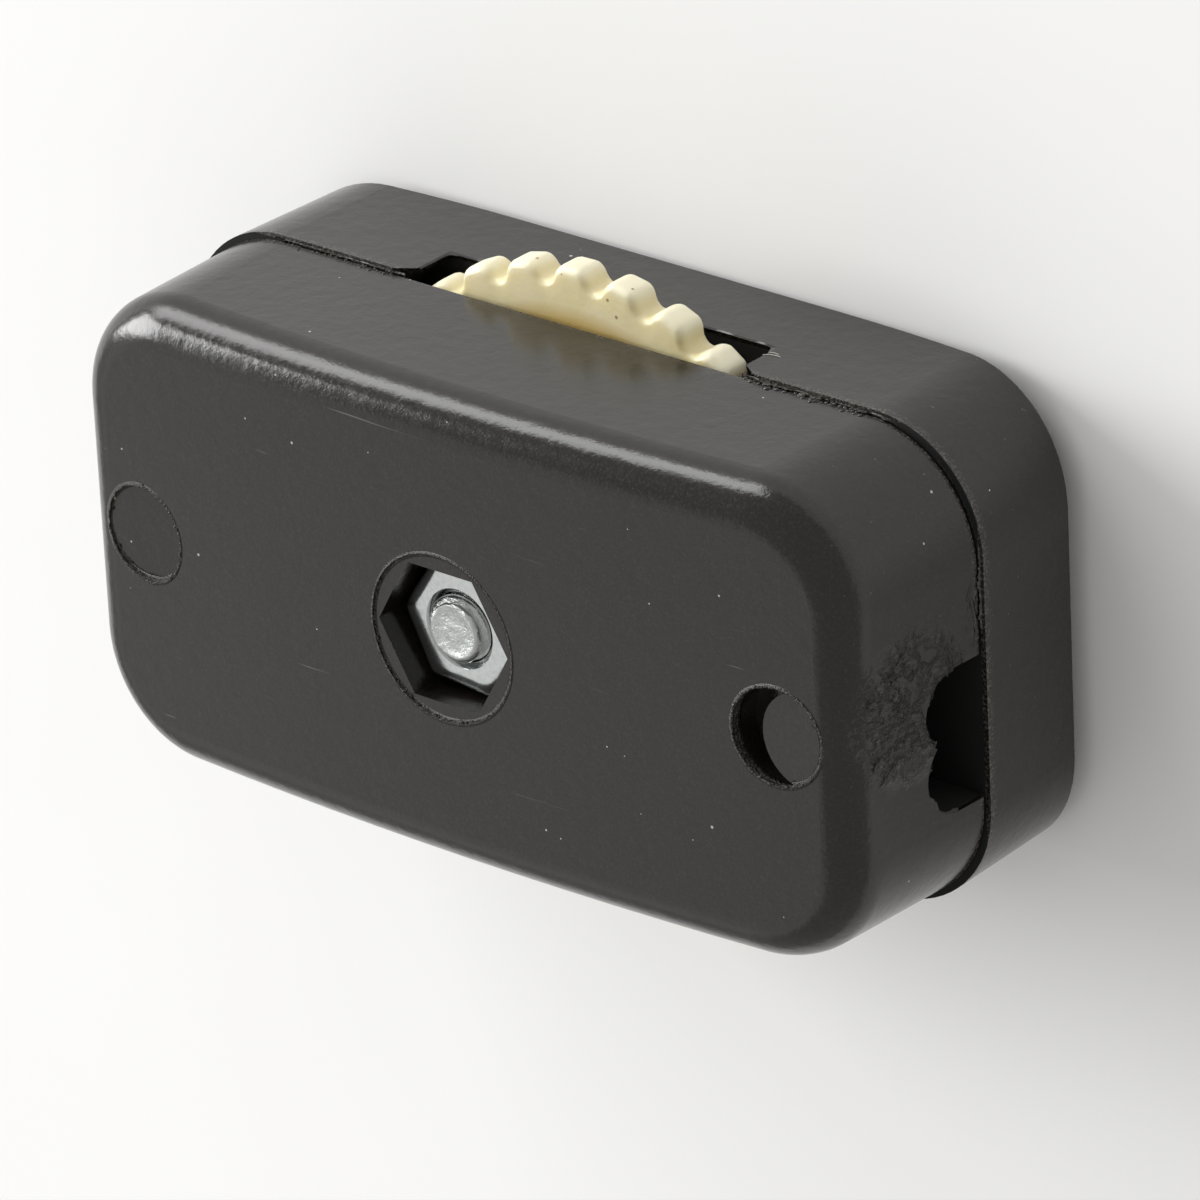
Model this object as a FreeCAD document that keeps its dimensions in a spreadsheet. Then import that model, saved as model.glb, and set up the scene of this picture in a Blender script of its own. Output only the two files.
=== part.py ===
import FreeCAD, Part
import math
import os
import re
import Sketcher

# Inline cord switch: two moulded housing halves on one through screw, with a toothed thumbwheel between them.
# Lengths are millimetres. X runs along the cord, Z points out of the face that shows the nut.
# The switch lies on its back: z = 0 is the flat of the rear half, and the seam lies at rear_depth.

os.makedirs("parts", exist_ok=True)
doc = FreeCAD.newDocument("inline_cord_switch")
sheet = doc.addObject("Spreadsheet::Sheet", "sizes")

SIZES = {
    # Housing halves
    "body_length": 39.6,
    "body_width": 20.4,
    "rear_depth": 6.9,
    "front_depth": 8.5,
    "corner_radius": 5.0,
    "draft_angle": 2.5,
    "rim_step": 0.2,
    "seam_chamfer": 0.15,
    "front_edge_radius": 1.8,
    "rear_edge_chamfer": 0.5,
    "crown_radius": 190.0,
    "rear_flat_length": 16.0,
    "rear_end_rise": 0.9,
    "side_wall": 1.7,
    "face_wall": 2.0,
    "end_block": 8.2,
    "inner_corner_radius": 1.0,
    "relief_length": 3.8,
    "relief_width": 2.2,
    "relief_inset": 2.2,
    "relief_depth": 5.4,
    "relief_wall": 1.2,
    # Passage for the flat two-core cord
    "core_pitch": 2.6,
    "core_lobe_radius": 1.7,
    "cord_depth": 3.3,
    "cord_offset": 1.6,
    # Round marks in the front face
    "mark_radius": 2.02,
    "mark_inset": 3.9,
    "mark_depth": 0.25,
    "gap_depth": 1.3,
    "gap_width": 1.2,
    # Locating pegs
    "peg_radius": 1.0,
    "peg_height": 2.5,
    "peg_inset": 4.6,
    "peg_offset": 5.4,
    "peg_gap": 0.1,
    # Screw and nut
    "screw_radius": 1.42,
    "screw_gap": 0.08,
    "thread_gap": 0.03,
    "screw_proud": 0.4,
    "screw_point": 0.3,
    "head_radius": 2.6,
    "head_height": 1.5,
    "head_round": 0.7,
    "head_seat": 1.9,
    "head_gap": 0.3,
    "driver_slot_width": 0.8,
    "driver_slot_depth": 0.7,
    "nut_flats": 5.1,
    "nut_height": 2.1,
    "nut_recess": 1.1,
    "nut_gap": 0.25,
    "nut_corner_cut": 0.16,
    "nut_land": 0.14,
    "nut_rest_angle": -5.0,
    "nut_mouth": 0.22,
    "nut_ring_radius": 3.5,
    "nut_ring_depth": 0.12,
    "nut_boss_radius": 4.0,
    "nut_boss_floor": 1.2,
    "boss_radius": 2.9,
    # Thumbwheel
    "wheel_radius": 12.22,
    "wheel_thickness": 1.55,
    "wheel_front_gap": 0.2,
    "wheel_rest_angle": -4.8,
    "tooth_count": 30,
    "tooth_depth": 0.68,
    "gullet_round": 0.42,
    "flank_angle": 30.0,
    "tooth_round": 0.5,
    "wheel_rim_gap": 0.88,
    "wheel_cavity_depth": 2.5,
    "cavity_edge_chamfer": 0.5,
    "axle_radius": 2.2,
    "running_gap": 0.05,
    "thrust_radius": 2.75,
    "thrust_gap": 0.15,
    # Contact plate in the wheel
    "plate_thickness": 0.4,
    "plate_bore": 3.0,
    "plate_ring_radius": 4.6,
    "plate_reach": 8.6,
    "plate_arm_width": 2.4,
    "plate_arms": 4,
    "plate_recess_gap": 0.4,
    # Terminals
    "strip_thickness": 0.5,
    "strip_width": 2.4,
    "seat_gap": 0.15,
    "seat_drop": 0.6,
    "finger_overlap": 2.4,
    "finger_flat": 1.2,
    "foot_length": 5.2,
    "finger_gap": 0.1,
    "leg_inset": 5.0,
    "prong_reach": 2.5,
    "prong_cut": 1.0,
}
for row, (word, size) in enumerate(SIZES.items(), 1):
    sheet.set("A%d" % row, word.replace("_", " "))
    sheet.set("B%d" % row, str(size))
    sheet.setAlias("B%d" % row, word)
doc.recompute()

# Heights shared by several pieces, as formulas of the sheet.
TOP = "(rear_depth + front_depth)"
FACE_FLOOR = "(rear_depth + front_depth - face_wall)"
NUT_FACE = "(rear_depth + front_depth - nut_recess)"
# Places along the cord, measured from the housing's ends and from the plate that the fingers touch.
PEG_X = "(body_length / 2 - peg_inset)"
LEG_X = "(body_length / 2 - leg_inset)"
FINGER_END = "(plate_reach - finger_overlap)"
CAVITY_FLOOR = "(rear_depth - wheel_cavity_depth)"
WHEEL_BACK = "(rear_depth - wheel_front_gap - wheel_thickness)"
SEAT_FLOOR = "(rear_depth - wheel_cavity_depth - seat_drop)"
FRONT_HALF_LENGTH = "(body_length / 2 - rim_step)"
CLEAR = "2"


def sized(formula):
    """Write a formula of the sheet's words as an expression for another object."""
    return re.sub(r"[a-z_]+", lambda m: "sizes." + m.group(0) if m.group(0) in SIZES else m.group(0), formula)


def number(formula):
    """The present value of such a formula."""
    return float(sheet.evalExpression(sized(formula)))


def new_body(name):
    body = doc.addObject("PartDesign::Body", name)
    body.Label = name
    return body


def origin_item(body, role):
    return next(item for item in body.Origin.OriginFeatures if item.Role == role)


def new_sketch(body, name, plane="XY_Plane", height=None):
    """A sketch on one of the body's own planes, lifted along that plane's normal by a formula."""
    sketch = body.newObject("Sketcher::SketchObject", name)
    sketch.AttachmentSupport = [(origin_item(body, plane), "")]
    sketch.MapMode = "FlatFace"
    if height:
        sketch.setExpression("AttachmentOffset.Base.z", sized(height))
    return sketch


def hold(sketch, name, formula, kind, *where):
    """A named dimension bound to the sheet."""
    index = sketch.addConstraint(Sketcher.Constraint(kind, *where, number(formula)))
    sketch.renameConstraint(index, name)
    sketch.setExpression("Constraints." + name, sized(formula))


def locate(sketch, name, geometry, point, x, y):
    """Fix one point by its distances from the sketch's origin; None puts it on that axis."""
    if x is None:
        sketch.addConstraint(Sketcher.Constraint("PointOnObject", geometry, point, -2))
    else:
        hold(sketch, name + "_across", x, "DistanceX", -1, 1, geometry, point)
    if y is None:
        sketch.addConstraint(Sketcher.Constraint("PointOnObject", geometry, point, -1))
    else:
        hold(sketch, name + "_along", y, "DistanceY", -1, 1, geometry, point)


def spot(x, y):
    return FreeCAD.Vector(number(x) if x else 0, number(y) if y else 0, 0)


def polygon(sketch, name, corners):
    """A closed outline with every corner held by two formulas."""
    first = sketch.GeometryCount
    count = len(corners)
    for i in range(count):
        sketch.addGeometry(Part.LineSegment(spot(*corners[i]), spot(*corners[(i + 1) % count])))
    for i in range(count):
        following = first + (i + 1) % count
        sketch.addConstraint(Sketcher.Constraint("Coincident", first + i, 2, following, 1))
    for i, (x, y) in enumerate(corners):
        locate(sketch, "%s_%d" % (name, i), first + i, 1, x, y)


def rectangle(sketch, name, left, right, low, high):
    polygon(sketch, name, [(left, low), (right, low), (right, high), (left, high)])


def circle(sketch, name, x, y, radius):
    geometry = sketch.addGeometry(Part.Circle(spot(x, y), FreeCAD.Vector(0, 0, 1), number(radius)))
    locate(sketch, name, geometry, 3, x, y)
    hold(sketch, name + "_size", radius, "Radius", geometry)


def hexagon(sketch, name, flats):
    """A hexagon about the origin with two corners on the X axis."""
    half = "(%s) / 2" % flats
    corner = "(%s) / sqrt(3)" % flats
    offset = "(%s) / sqrt(3) / 2" % flats
    back = "-(%s)" % offset
    low = "-(%s)" % half
    polygon(sketch, name, [
        (corner, None), (offset, half), (back, half),
        ("-(%s)" % corner, None), (back, low), (offset, low),
    ])


def arc(sketch, centre, radius, start, end):
    """An arc counter-clockwise from one angle to the other, in degrees."""
    ring = Part.Circle(spot(*centre), FreeCAD.Vector(0, 0, 1), number(radius))
    return sketch.addGeometry(Part.ArcOfCircle(ring, math.radians(start), math.radians(end)))


def join(sketch, a, a_end, b, b_end):
    sketch.addConstraint(Sketcher.Constraint("Coincident", a, a_end, b, b_end))


def pad(body, name, sketch, length, down=False):
    feature = body.newObject("PartDesign::Pad", name)
    feature.Profile = sketch
    feature.Reversed = down
    feature.setExpression("Length", sized(length))
    sketch.Visibility = False
    doc.recompute()
    return feature


def drafted(body, name, base, height, angle):
    """Lean the two end walls inwards, away from the face at one height, as a mould needs."""
    faces = list(enumerate(base.Shape.Faces, 1))
    sides = ["Face%d" % i for i, face in faces if face.BoundBox.XLength < 0.01]
    level = [
        "Face%d" % i for i, face in faces
        if face.BoundBox.ZLength < 0.01 and abs(face.CenterOfMass.z - number(height)) < 0.01
    ]
    feature = body.newObject("PartDesign::Draft", name)
    feature.Base = (base, sides)
    feature.NeutralPlane = (base, level)
    feature.setExpression("Angle", sized(angle))
    doc.recompute()
    if feature.Shape.Volume > base.Shape.Volume:
        feature.Reversed = True
        doc.recompute()
    return feature


def pocket(body, name, sketch, depth=None, up=False):
    """Cut down from the sketch, up from it, or with no depth right through on both sides."""
    feature = body.newObject("PartDesign::Pocket", name)
    feature.Profile = sketch
    feature.Reversed = up
    if depth:
        feature.setExpression("Length", sized(depth))
    else:
        feature.Type = "ThroughAll"
        feature.SideType = "Symmetric"
    sketch.Visibility = False
    doc.recompute()
    return feature


def turned(body, kind, name, sketch):
    """A full turn of a half section about the body's Z axis."""
    feature = body.newObject(kind, name)
    feature.Profile = sketch
    feature.ReferenceAxis = (origin_item(body, "Z_Axis"), [""])
    feature.Angle = 360
    sketch.Visibility = False
    doc.recompute()
    return feature


def dress(body, kind, name, base, size_name, formula, wanted):
    """Fillet or chamfer the edges of the base feature that pass a test."""
    edges = ["Edge%d" % (i + 1) for i, edge in enumerate(base.Shape.Edges) if wanted(edge)]
    feature = body.newObject(kind, name)
    feature.Base = (base, edges)
    feature.setExpression(size_name, sized(formula))
    doc.recompute()
    return feature


def repeated(body, name, feature, count):
    """Repeat one feature round the body's Z axis."""
    pattern = body.newObject("PartDesign::PolarPattern", name)
    pattern.Originals = [feature]
    pattern.Axis = (origin_item(body, "Z_Axis"), [""])
    pattern.Angle = 360
    pattern.setExpression("Occurrences", sized(count))
    body.Tip = pattern
    doc.recompute()
    return pattern


def upright(edge):
    """A straight edge that runs mostly along Z."""
    ends = [vertex.Point for vertex in edge.Vertexes]
    if len(ends) < 2 or edge.Length > ends[0].distanceToPoint(ends[1]) + 0.001:
        return False
    return abs(edge.tangentAt(edge.FirstParameter).z) > 0.9


def level_at(formula):
    """A test for edges that lie wholly at one height."""
    height = number(formula)
    return lambda edge: abs(edge.BoundBox.ZMin - height) < 0.01 and abs(edge.BoundBox.ZMax - height) < 0.01


def edges_of_face(base, wanted):
    """A test for the edges that bound the faces which pass a test."""
    bounds = [edge for face in base.Shape.Faces if wanted(face) for edge in face.Edges]
    return lambda edge: any(edge.isSame(bound) for bound in bounds)


# Front half: tapered shell with a bowed face.
front = new_body("front_housing")
outline = new_sketch(front, "front_outline", height="rear_depth")
HALF_WIDTH = "(body_width / 2 - rim_step)"
rectangle(outline, "rim", "-" + FRONT_HALF_LENGTH, FRONT_HALF_LENGTH, "-" + HALF_WIDTH, HALF_WIDTH)
block = pad(front, "front_block", outline, "front_depth")
leaning = drafted(front, "front_draft", block, "rear_depth", "draft_angle")
dress(front, "PartDesign::Fillet", "front_corners", leaning, "Radius", "corner_radius", upright)

crown = new_sketch(front, "front_crown", "XZ_Plane")
CROWN_CENTRE = TOP + " - crown_radius"
lean = math.degrees(math.asin(number("(body_length / 2 + %s) / crown_radius" % CLEAR)))
bow = arc(crown, (None, CROWN_CENTRE), "crown_radius", 90 - lean, 90 + lean)
locate(crown, "centre", bow, 3, None, CROWN_CENTRE)
hold(crown, "bow", "crown_radius", "Radius", bow)
REACH = "(body_length / 2 + %s)" % CLEAR
ABOVE = "(%s + %s)" % (TOP, CLEAR)
curve_height = "(%s - crown_radius + sqrt(crown_radius ^ 2 - %s ^ 2))" % (TOP, REACH)
left_side = crown.addGeometry(Part.LineSegment(spot("-" + REACH, curve_height), spot("-" + REACH, ABOVE)))
lid = crown.addGeometry(Part.LineSegment(spot("-" + REACH, ABOVE), spot(REACH, ABOVE)))
right_side = crown.addGeometry(Part.LineSegment(spot(REACH, ABOVE), spot(REACH, curve_height)))
join(crown, bow, 2, left_side, 1)
join(crown, left_side, 2, lid, 1)
join(crown, lid, 2, right_side, 1)
join(crown, right_side, 2, bow, 1)
crown.addConstraint(Sketcher.Constraint("Vertical", left_side))
crown.addConstraint(Sketcher.Constraint("Vertical", right_side))
locate(crown, "lid_left", lid, 1, "-" + REACH, ABOVE)
locate(crown, "lid_right", lid, 2, REACH, ABOVE)
bowed = pocket(front, "front_bow", crown)

is_crown = edges_of_face(bowed, lambda face: face.Surface.TypeId == "Part::GeomCylinder" and
                         abs(face.Surface.Radius - number("crown_radius")) < 0.01)
# The round starts from the right end and runs on along the smooth outline.
right_end = number("body_length / 2 - corner_radius")
rounded = dress(front, "PartDesign::Fillet", "front_edge", bowed, "Radius", "front_edge_radius",
                lambda edge: is_crown(edge) and edge.CenterOfMass.x > right_end and abs(edge.CenterOfMass.y) < 1)
dress(front, "PartDesign::Chamfer", "seam_edge", rounded, "Size", "seam_chamfer", level_at("rear_depth"))

# Wiring space in the middle, and two reliefs below the cord passage.
hollow = new_sketch(front, "wiring_space", height="rear_depth")
SPACE_LENGTH = "(body_length / 2 - end_block)"
SPACE_WIDTH = "(body_width / 2 - rim_step - side_wall)"
rectangle(hollow, "space", "-" + SPACE_LENGTH, SPACE_LENGTH, "-" + SPACE_WIDTH, SPACE_WIDTH)
emptied = pocket(front, "wiring_cut", hollow, "front_depth - face_wall", up=True)
inner_reach = number(SPACE_LENGTH) + 0.01


def inner_corner(edge):
    return upright(edge) and abs(edge.CenterOfMass.x) < inner_reach


dress(front, "PartDesign::Fillet", "wiring_corners", emptied, "Radius", "inner_corner_radius", inner_corner)
relief = new_sketch(front, "corner_reliefs", height="rear_depth")
RELIEF_START = "(body_length / 2 - end_block + relief_wall)"
RELIEF_END = "(body_length / 2 - end_block + relief_wall + relief_length)"
RELIEF_LOW = "-(body_width / 2 - relief_inset)"
RELIEF_HIGH = "-(body_width / 2 - relief_inset - relief_width)"
rectangle(relief, "right_relief", RELIEF_START, RELIEF_END, RELIEF_LOW, RELIEF_HIGH)
rectangle(relief, "left_relief", "-" + RELIEF_END, "-" + RELIEF_START, RELIEF_LOW, RELIEF_HIGH)
pocket(front, "relief_cut", relief, "relief_depth", up=True)

# Cord passage: two lobes side by side, open to the seam, from end to end.
passage = new_sketch(front, "cord_passage", "YZ_Plane")
LOBE_HEIGHT = "(rear_depth + cord_depth - core_lobe_radius)"
UPPER_LOBE = "(core_pitch / 2 - cord_offset)"
LOWER_LOBE = "(-core_pitch / 2 - cord_offset)"
UPPER_WALL = "(core_pitch / 2 - cord_offset + core_lobe_radius)"
LOWER_WALL = "(-core_pitch / 2 - cord_offset - core_lobe_radius)"
BELOW = "(rear_depth - %s)" % CLEAR
cusp = math.degrees(math.acos(number("core_pitch / 2 / core_lobe_radius")))
upper = arc(passage, (UPPER_LOBE, LOBE_HEIGHT), "core_lobe_radius", 0, 180 - cusp)
lower = arc(passage, (LOWER_LOBE, LOBE_HEIGHT), "core_lobe_radius", cusp, 180)
lower_side = passage.addGeometry(Part.LineSegment(spot(LOWER_WALL, LOBE_HEIGHT), spot(LOWER_WALL, BELOW)))
base_line = passage.addGeometry(Part.LineSegment(spot(LOWER_WALL, BELOW), spot(UPPER_WALL, BELOW)))
upper_side = passage.addGeometry(Part.LineSegment(spot(UPPER_WALL, BELOW), spot(UPPER_WALL, LOBE_HEIGHT)))
join(passage, upper, 2, lower, 1)
join(passage, lower, 2, lower_side, 1)
join(passage, lower_side, 2, base_line, 1)
join(passage, base_line, 2, upper_side, 1)
join(passage, upper_side, 2, upper, 1)
locate(passage, "upper_lobe", upper, 3, UPPER_LOBE, LOBE_HEIGHT)
locate(passage, "lower_lobe", lower, 3, LOWER_LOBE, LOBE_HEIGHT)
hold(passage, "upper_size", "core_lobe_radius", "Radius", upper)
hold(passage, "lower_size", "core_lobe_radius", "Radius", lower)
locate(passage, "base_low", base_line, 1, LOWER_WALL, BELOW)
locate(passage, "base_high", base_line, 2, UPPER_WALL, BELOW)
hold(passage, "upper_spring", LOBE_HEIGHT, "DistanceY", -1, 1, upper_side, 2)
hold(passage, "lower_spring", LOBE_HEIGHT, "DistanceY", -1, 1, lower_side, 1)
pocket(front, "cord_cut", passage)

# Screw boss with the hexagon socket for the nut.
post = new_sketch(front, "boss_circle", height="rear_depth")
circle(post, "boss", None, None, "boss_radius")
pad(front, "boss", post, "front_depth - face_wall")
seat = new_sketch(front, "nut_boss_circle", height=NUT_FACE + " - nut_height - nut_boss_floor")
circle(seat, "nut_boss", None, None, "nut_boss_radius")
pad(front, "nut_boss", seat, FACE_FLOOR + " - " + NUT_FACE + " + nut_height + nut_boss_floor")
rim = new_sketch(front, "nut_ring_circle", height=TOP)
circle(rim, "nut_ring", None, None, "nut_ring_radius")
pocket(front, "nut_ring_cut", rim, "nut_ring_depth")
socket = new_sketch(front, "nut_socket", height=TOP)
hexagon(socket, "socket", "nut_flats + 2 * nut_gap")
pocket(front, "nut_socket_cut", socket, "nut_recess + nut_height")
way = new_sketch(front, "screw_way", height=TOP)
circle(way, "way", None, None, "screw_radius + screw_gap")
pocket(front, "screw_way_cut", way, "front_depth + " + CLEAR)

# Round marks left by the mould, with a crescent gap on the inner side of the right one.
MARK_X = "(body_length / 2 - mark_inset)"
MARK_FACE = "(%s - crown_radius + sqrt(crown_radius ^ 2 - %s ^ 2))" % (TOP, MARK_X)
marks = new_sketch(front, "round_marks", height=TOP)
circle(marks, "left_mark", "-" + MARK_X, None, "mark_radius")
circle(marks, "right_mark", MARK_X, None, "mark_radius")
pocket(front, "round_mark_cut", marks, "%s - %s + mark_depth" % (TOP, MARK_FACE))
crescent = new_sketch(front, "crescent", height=TOP)
INNER_X = "(%s + gap_width)" % MARK_X
tip = math.degrees(math.acos(number("gap_width / 2 / mark_radius")))
outer = arc(crescent, (MARK_X, None), "mark_radius", tip, 360 - tip)
inner = arc(crescent, (INNER_X, None), "mark_radius", 180 - tip, 180 + tip)
join(crescent, outer, 1, inner, 1)
join(crescent, outer, 2, inner, 2)
locate(crescent, "outer", outer, 3, MARK_X, None)
locate(crescent, "inner", inner, 3, INNER_X, None)
hold(crescent, "outer_size", "mark_radius", "Radius", outer)
hold(crescent, "inner_size", "mark_radius", "Radius", inner)
pocket(front, "crescent_cut", crescent, "%s - %s + gap_depth" % (TOP, MARK_FACE))
sockets = new_sketch(front, "peg_sockets", height="rear_depth")
circle(sockets, "left_socket", "-" + PEG_X, "peg_offset", "peg_radius + peg_gap")
circle(sockets, "right_socket", PEG_X, "peg_offset", "peg_radius + peg_gap")
pocket(front, "peg_socket_cut", sockets, "peg_height + 2 * peg_gap", up=True)

# Rear half: slightly larger at the seam, flat in the middle of its back and raised towards the ends.
rear = new_body("rear_housing")
outline = new_sketch(rear, "rear_outline", height="rear_depth")
rectangle(outline, "rim", "-body_length / 2", "body_length / 2", "-body_width / 2", "body_width / 2")
block = pad(rear, "rear_block", outline, "rear_depth", down=True)
leaning = drafted(rear, "rear_draft", block, "rear_depth", "draft_angle")
dress(rear, "PartDesign::Fillet", "rear_corners", leaning, "Radius", "corner_radius", upright)
rise = new_sketch(rear, "rear_rise", "XZ_Plane")
FLAT_END = "(rear_flat_length / 2)"
RISE_RADIUS = "(((body_length / 2 - rear_flat_length / 2) ^ 2 + rear_end_rise ^ 2) / (2 * rear_end_rise))"
RISE_REACH = "(%s - rear_flat_length / 2)" % REACH
swing = math.degrees(math.asin(number("%s / %s" % (RISE_REACH, RISE_RADIUS))))
rise_end = "(%s - sqrt(%s ^ 2 - %s ^ 2))" % (RISE_RADIUS, RISE_RADIUS, RISE_REACH)
for side, sign, first, last in (("right", "", 270, 270 + swing), ("left", "-", 270 - swing, 270)):
    near, far = (1, 2) if side == "right" else (2, 1)
    start = sign + FLAT_END
    finish = sign + REACH
    sweep = arc(rise, (start, RISE_RADIUS), RISE_RADIUS, first, last)
    outer = rise.addGeometry(Part.LineSegment(spot(finish, rise_end), spot(finish, "-" + CLEAR)))
    under = rise.addGeometry(Part.LineSegment(spot(finish, "-" + CLEAR), spot(start, "-" + CLEAR)))
    inner = rise.addGeometry(Part.LineSegment(spot(start, "-" + CLEAR), spot(start, None)))
    join(rise, sweep, far, outer, 1)
    join(rise, outer, 2, under, 1)
    join(rise, under, 2, inner, 1)
    join(rise, inner, 2, sweep, near)
    locate(rise, side + "_centre", sweep, 3, start, RISE_RADIUS)
    hold(rise, side + "_size", RISE_RADIUS, "Radius", sweep)
    locate(rise, side + "_outer", under, 1, finish, "-" + CLEAR)
    locate(rise, side + "_inner", under, 2, start, "-" + CLEAR)
    rise.addConstraint(Sketcher.Constraint("Vertical", outer))
    rise.addConstraint(Sketcher.Constraint("Vertical", inner))
raised = pocket(rear, "rear_rise_cut", rise)


def faces_down(face):
    """The back of the rear half: its flat and the two rising ends."""
    u0, u1, v0, v1 = face.ParameterRange
    return face.normalAt((u0 + u1) / 2, (v0 + v1) / 2).z < -0.9


back_edges = edges_of_face(raised, faces_down)


def on_outline(edge):
    """A back edge that is not one of the two lines between flat and rise."""
    middle = edge.valueAt((edge.FirstParameter + edge.LastParameter) / 2)
    return back_edges(edge) and not (abs(middle.y) < 0.01 and abs(middle.x) < number(FLAT_END) + 0.01)


dress(rear, "PartDesign::Chamfer", "rear_edge", raised, "Size", "rear_edge_chamfer", on_outline)

# Round space for the wheel, which breaks out through both long sides as two slots.
cavity = new_sketch(rear, "wheel_cavity", height="rear_depth")
circle(cavity, "cavity", None, None, "wheel_radius + wheel_rim_gap")
hollowed = pocket(rear, "wheel_cavity_cut", cavity, "wheel_cavity_depth")
cavity_radius = number("wheel_radius + wheel_rim_gap")
at_seam = level_at("rear_depth")
dress(rear, "PartDesign::Chamfer", "wheel_cavity_edge", hollowed, "Size", "cavity_edge_chamfer",
      lambda edge: at_seam(edge) and edge.Curve.TypeId == "Part::GeomCircle" and
      abs(edge.Curve.Radius - cavity_radius) < 0.01)

# Axle and thrust ring for the wheel.
axle = new_sketch(rear, "axle_circle", height=CAVITY_FLOOR)
circle(axle, "axle", None, None, "axle_radius")
pad(rear, "axle", axle, "wheel_cavity_depth")
thrust = new_sketch(rear, "thrust_circle", height=CAVITY_FLOOR)
circle(thrust, "thrust", None, None, "thrust_radius")
pad(rear, "thrust_ring", thrust, WHEEL_BACK + " + plate_thickness - thrust_gap - " + CAVITY_FLOOR)

# Screw hole, counterbore for the head, terminal seats and locating pegs.
way = new_sketch(rear, "screw_way", height="rear_depth")
circle(way, "way", None, None, "screw_radius + screw_gap")
pocket(rear, "screw_way_cut", way, "rear_depth + " + CLEAR)
bore = new_sketch(rear, "head_bore")
circle(bore, "bore", None, None, "head_radius + head_gap")
pocket(rear, "head_bore_cut", bore, "head_seat", up=True)
seats = new_sketch(rear, "terminal_seats", height="rear_depth")
SEAT_IN = "(%s - seat_gap)" % FINGER_END
SEAT_OUT = "(%s + seat_gap)" % LEG_X
SEAT_SIDE = "(strip_width / 2 + seat_gap)"
rectangle(seats, "right_seat", SEAT_IN, SEAT_OUT, "-" + SEAT_SIDE, SEAT_SIDE)
rectangle(seats, "left_seat", "-" + SEAT_OUT, "-" + SEAT_IN, "-" + SEAT_SIDE, SEAT_SIDE)
pocket(rear, "terminal_seat_cut", seats, "rear_depth - " + SEAT_FLOOR)
pegs = new_sketch(rear, "peg_circles", height="rear_depth")
circle(pegs, "left_peg", "-" + PEG_X, "peg_offset", "peg_radius")
circle(pegs, "right_peg", PEG_X, "peg_offset", "peg_radius")
pad(rear, "locating_pegs", pegs, "peg_height")

# Thumbwheel: a disc with rounded teeth all round, turning on the axle.
wheel = new_body("thumbwheel")
wheel.setExpression("Placement.Base.z", sized(WHEEL_BACK))
wheel.setExpression("Placement.Rotation.Angle", sized("wheel_rest_angle"))
disc = new_sketch(wheel, "wheel_disc")
circle(disc, "disc", None, None, "wheel_radius")
pad(wheel, "wheel_blank", disc, "wheel_thickness")
gullet = new_sketch(wheel, "gullet")
GULLET_Y = "(wheel_radius - tooth_depth + gullet_round)"
FLANK_LOW_X = "(gullet_round * cos(flank_angle))"
FLANK_LOW_Y = "(%s - gullet_round * sin(flank_angle))" % GULLET_Y
TIP_Y = "(wheel_radius - tooth_round)"
FLANK_HIGH_Y = "(%s + tooth_round * sin(flank_angle))" % TIP_Y
FLANK_HIGH_X = "(%s + (%s - %s) * tan(flank_angle))" % (FLANK_LOW_X, FLANK_HIGH_Y, FLANK_LOW_Y)
TIP_X = "(%s + tooth_round * cos(flank_angle))" % FLANK_HIGH_X
OUTSIDE = "(wheel_radius + tooth_depth)"
lean = number("flank_angle")


def line(sketch, start, end):
    return sketch.addGeometry(Part.LineSegment(spot(*start), spot(*end)))


bottom = arc(gullet, (None, GULLET_Y), "gullet_round", 180 + lean, 360 - lean)
right_flank = line(gullet, (FLANK_LOW_X, FLANK_LOW_Y), (FLANK_HIGH_X, FLANK_HIGH_Y))
right_tip = arc(gullet, (TIP_X, TIP_Y), "tooth_round", 90, 180 - lean)
right_out = line(gullet, (TIP_X, "wheel_radius"), (TIP_X, OUTSIDE))
across = line(gullet, (TIP_X, OUTSIDE), ("-" + TIP_X, OUTSIDE))
left_out = line(gullet, ("-" + TIP_X, OUTSIDE), ("-" + TIP_X, "wheel_radius"))
left_tip = arc(gullet, ("-" + TIP_X, TIP_Y), "tooth_round", lean, 90)
left_flank = line(gullet, ("-" + FLANK_HIGH_X, FLANK_HIGH_Y), ("-" + FLANK_LOW_X, FLANK_LOW_Y))
for a, a_end, b, b_end in (
        (bottom, 2, right_flank, 1), (right_flank, 2, right_tip, 2), (right_tip, 1, right_out, 1),
        (right_out, 2, across, 1), (across, 2, left_out, 1), (left_out, 2, left_tip, 2),
        (left_tip, 1, left_flank, 1), (left_flank, 2, bottom, 1)):
    join(gullet, a, a_end, b, b_end)
locate(gullet, "bottom", bottom, 3, None, GULLET_Y)
hold(gullet, "bottom_size", "gullet_round", "Radius", bottom)
for side, sign, flank, low, high, tip, out, top in (
        ("right", "", right_flank, 1, 2, right_tip, 1, 1),
        ("left", "-", left_flank, 2, 1, left_tip, 2, 2)):
    hold(gullet, side + "_low", FLANK_LOW_Y, "DistanceY", -1, 1, flank, low)
    hold(gullet, side + "_high", FLANK_HIGH_Y, "DistanceY", -1, 1, flank, high)
    locate(gullet, side + "_tip", tip, 3, sign + TIP_X, TIP_Y)
    hold(gullet, side + "_tip_size", "tooth_round", "Radius", tip)
    hold(gullet, side + "_tip_end", sign + TIP_X, "DistanceX", -1, 1, tip, out)
    locate(gullet, side + "_outside", across, top, sign + TIP_X, OUTSIDE)
cut = pocket(wheel, "gullet_cut", gullet, "wheel_thickness", up=True)
repeated(wheel, "teeth", cut, "tooth_count")
recess = new_sketch(wheel, "plate_recess")
circle(recess, "recess", None, None, "plate_reach + plate_recess_gap")
pocket(wheel, "plate_recess_cut", recess, "plate_thickness", up=True)
hub = new_sketch(wheel, "wheel_bore")
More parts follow.
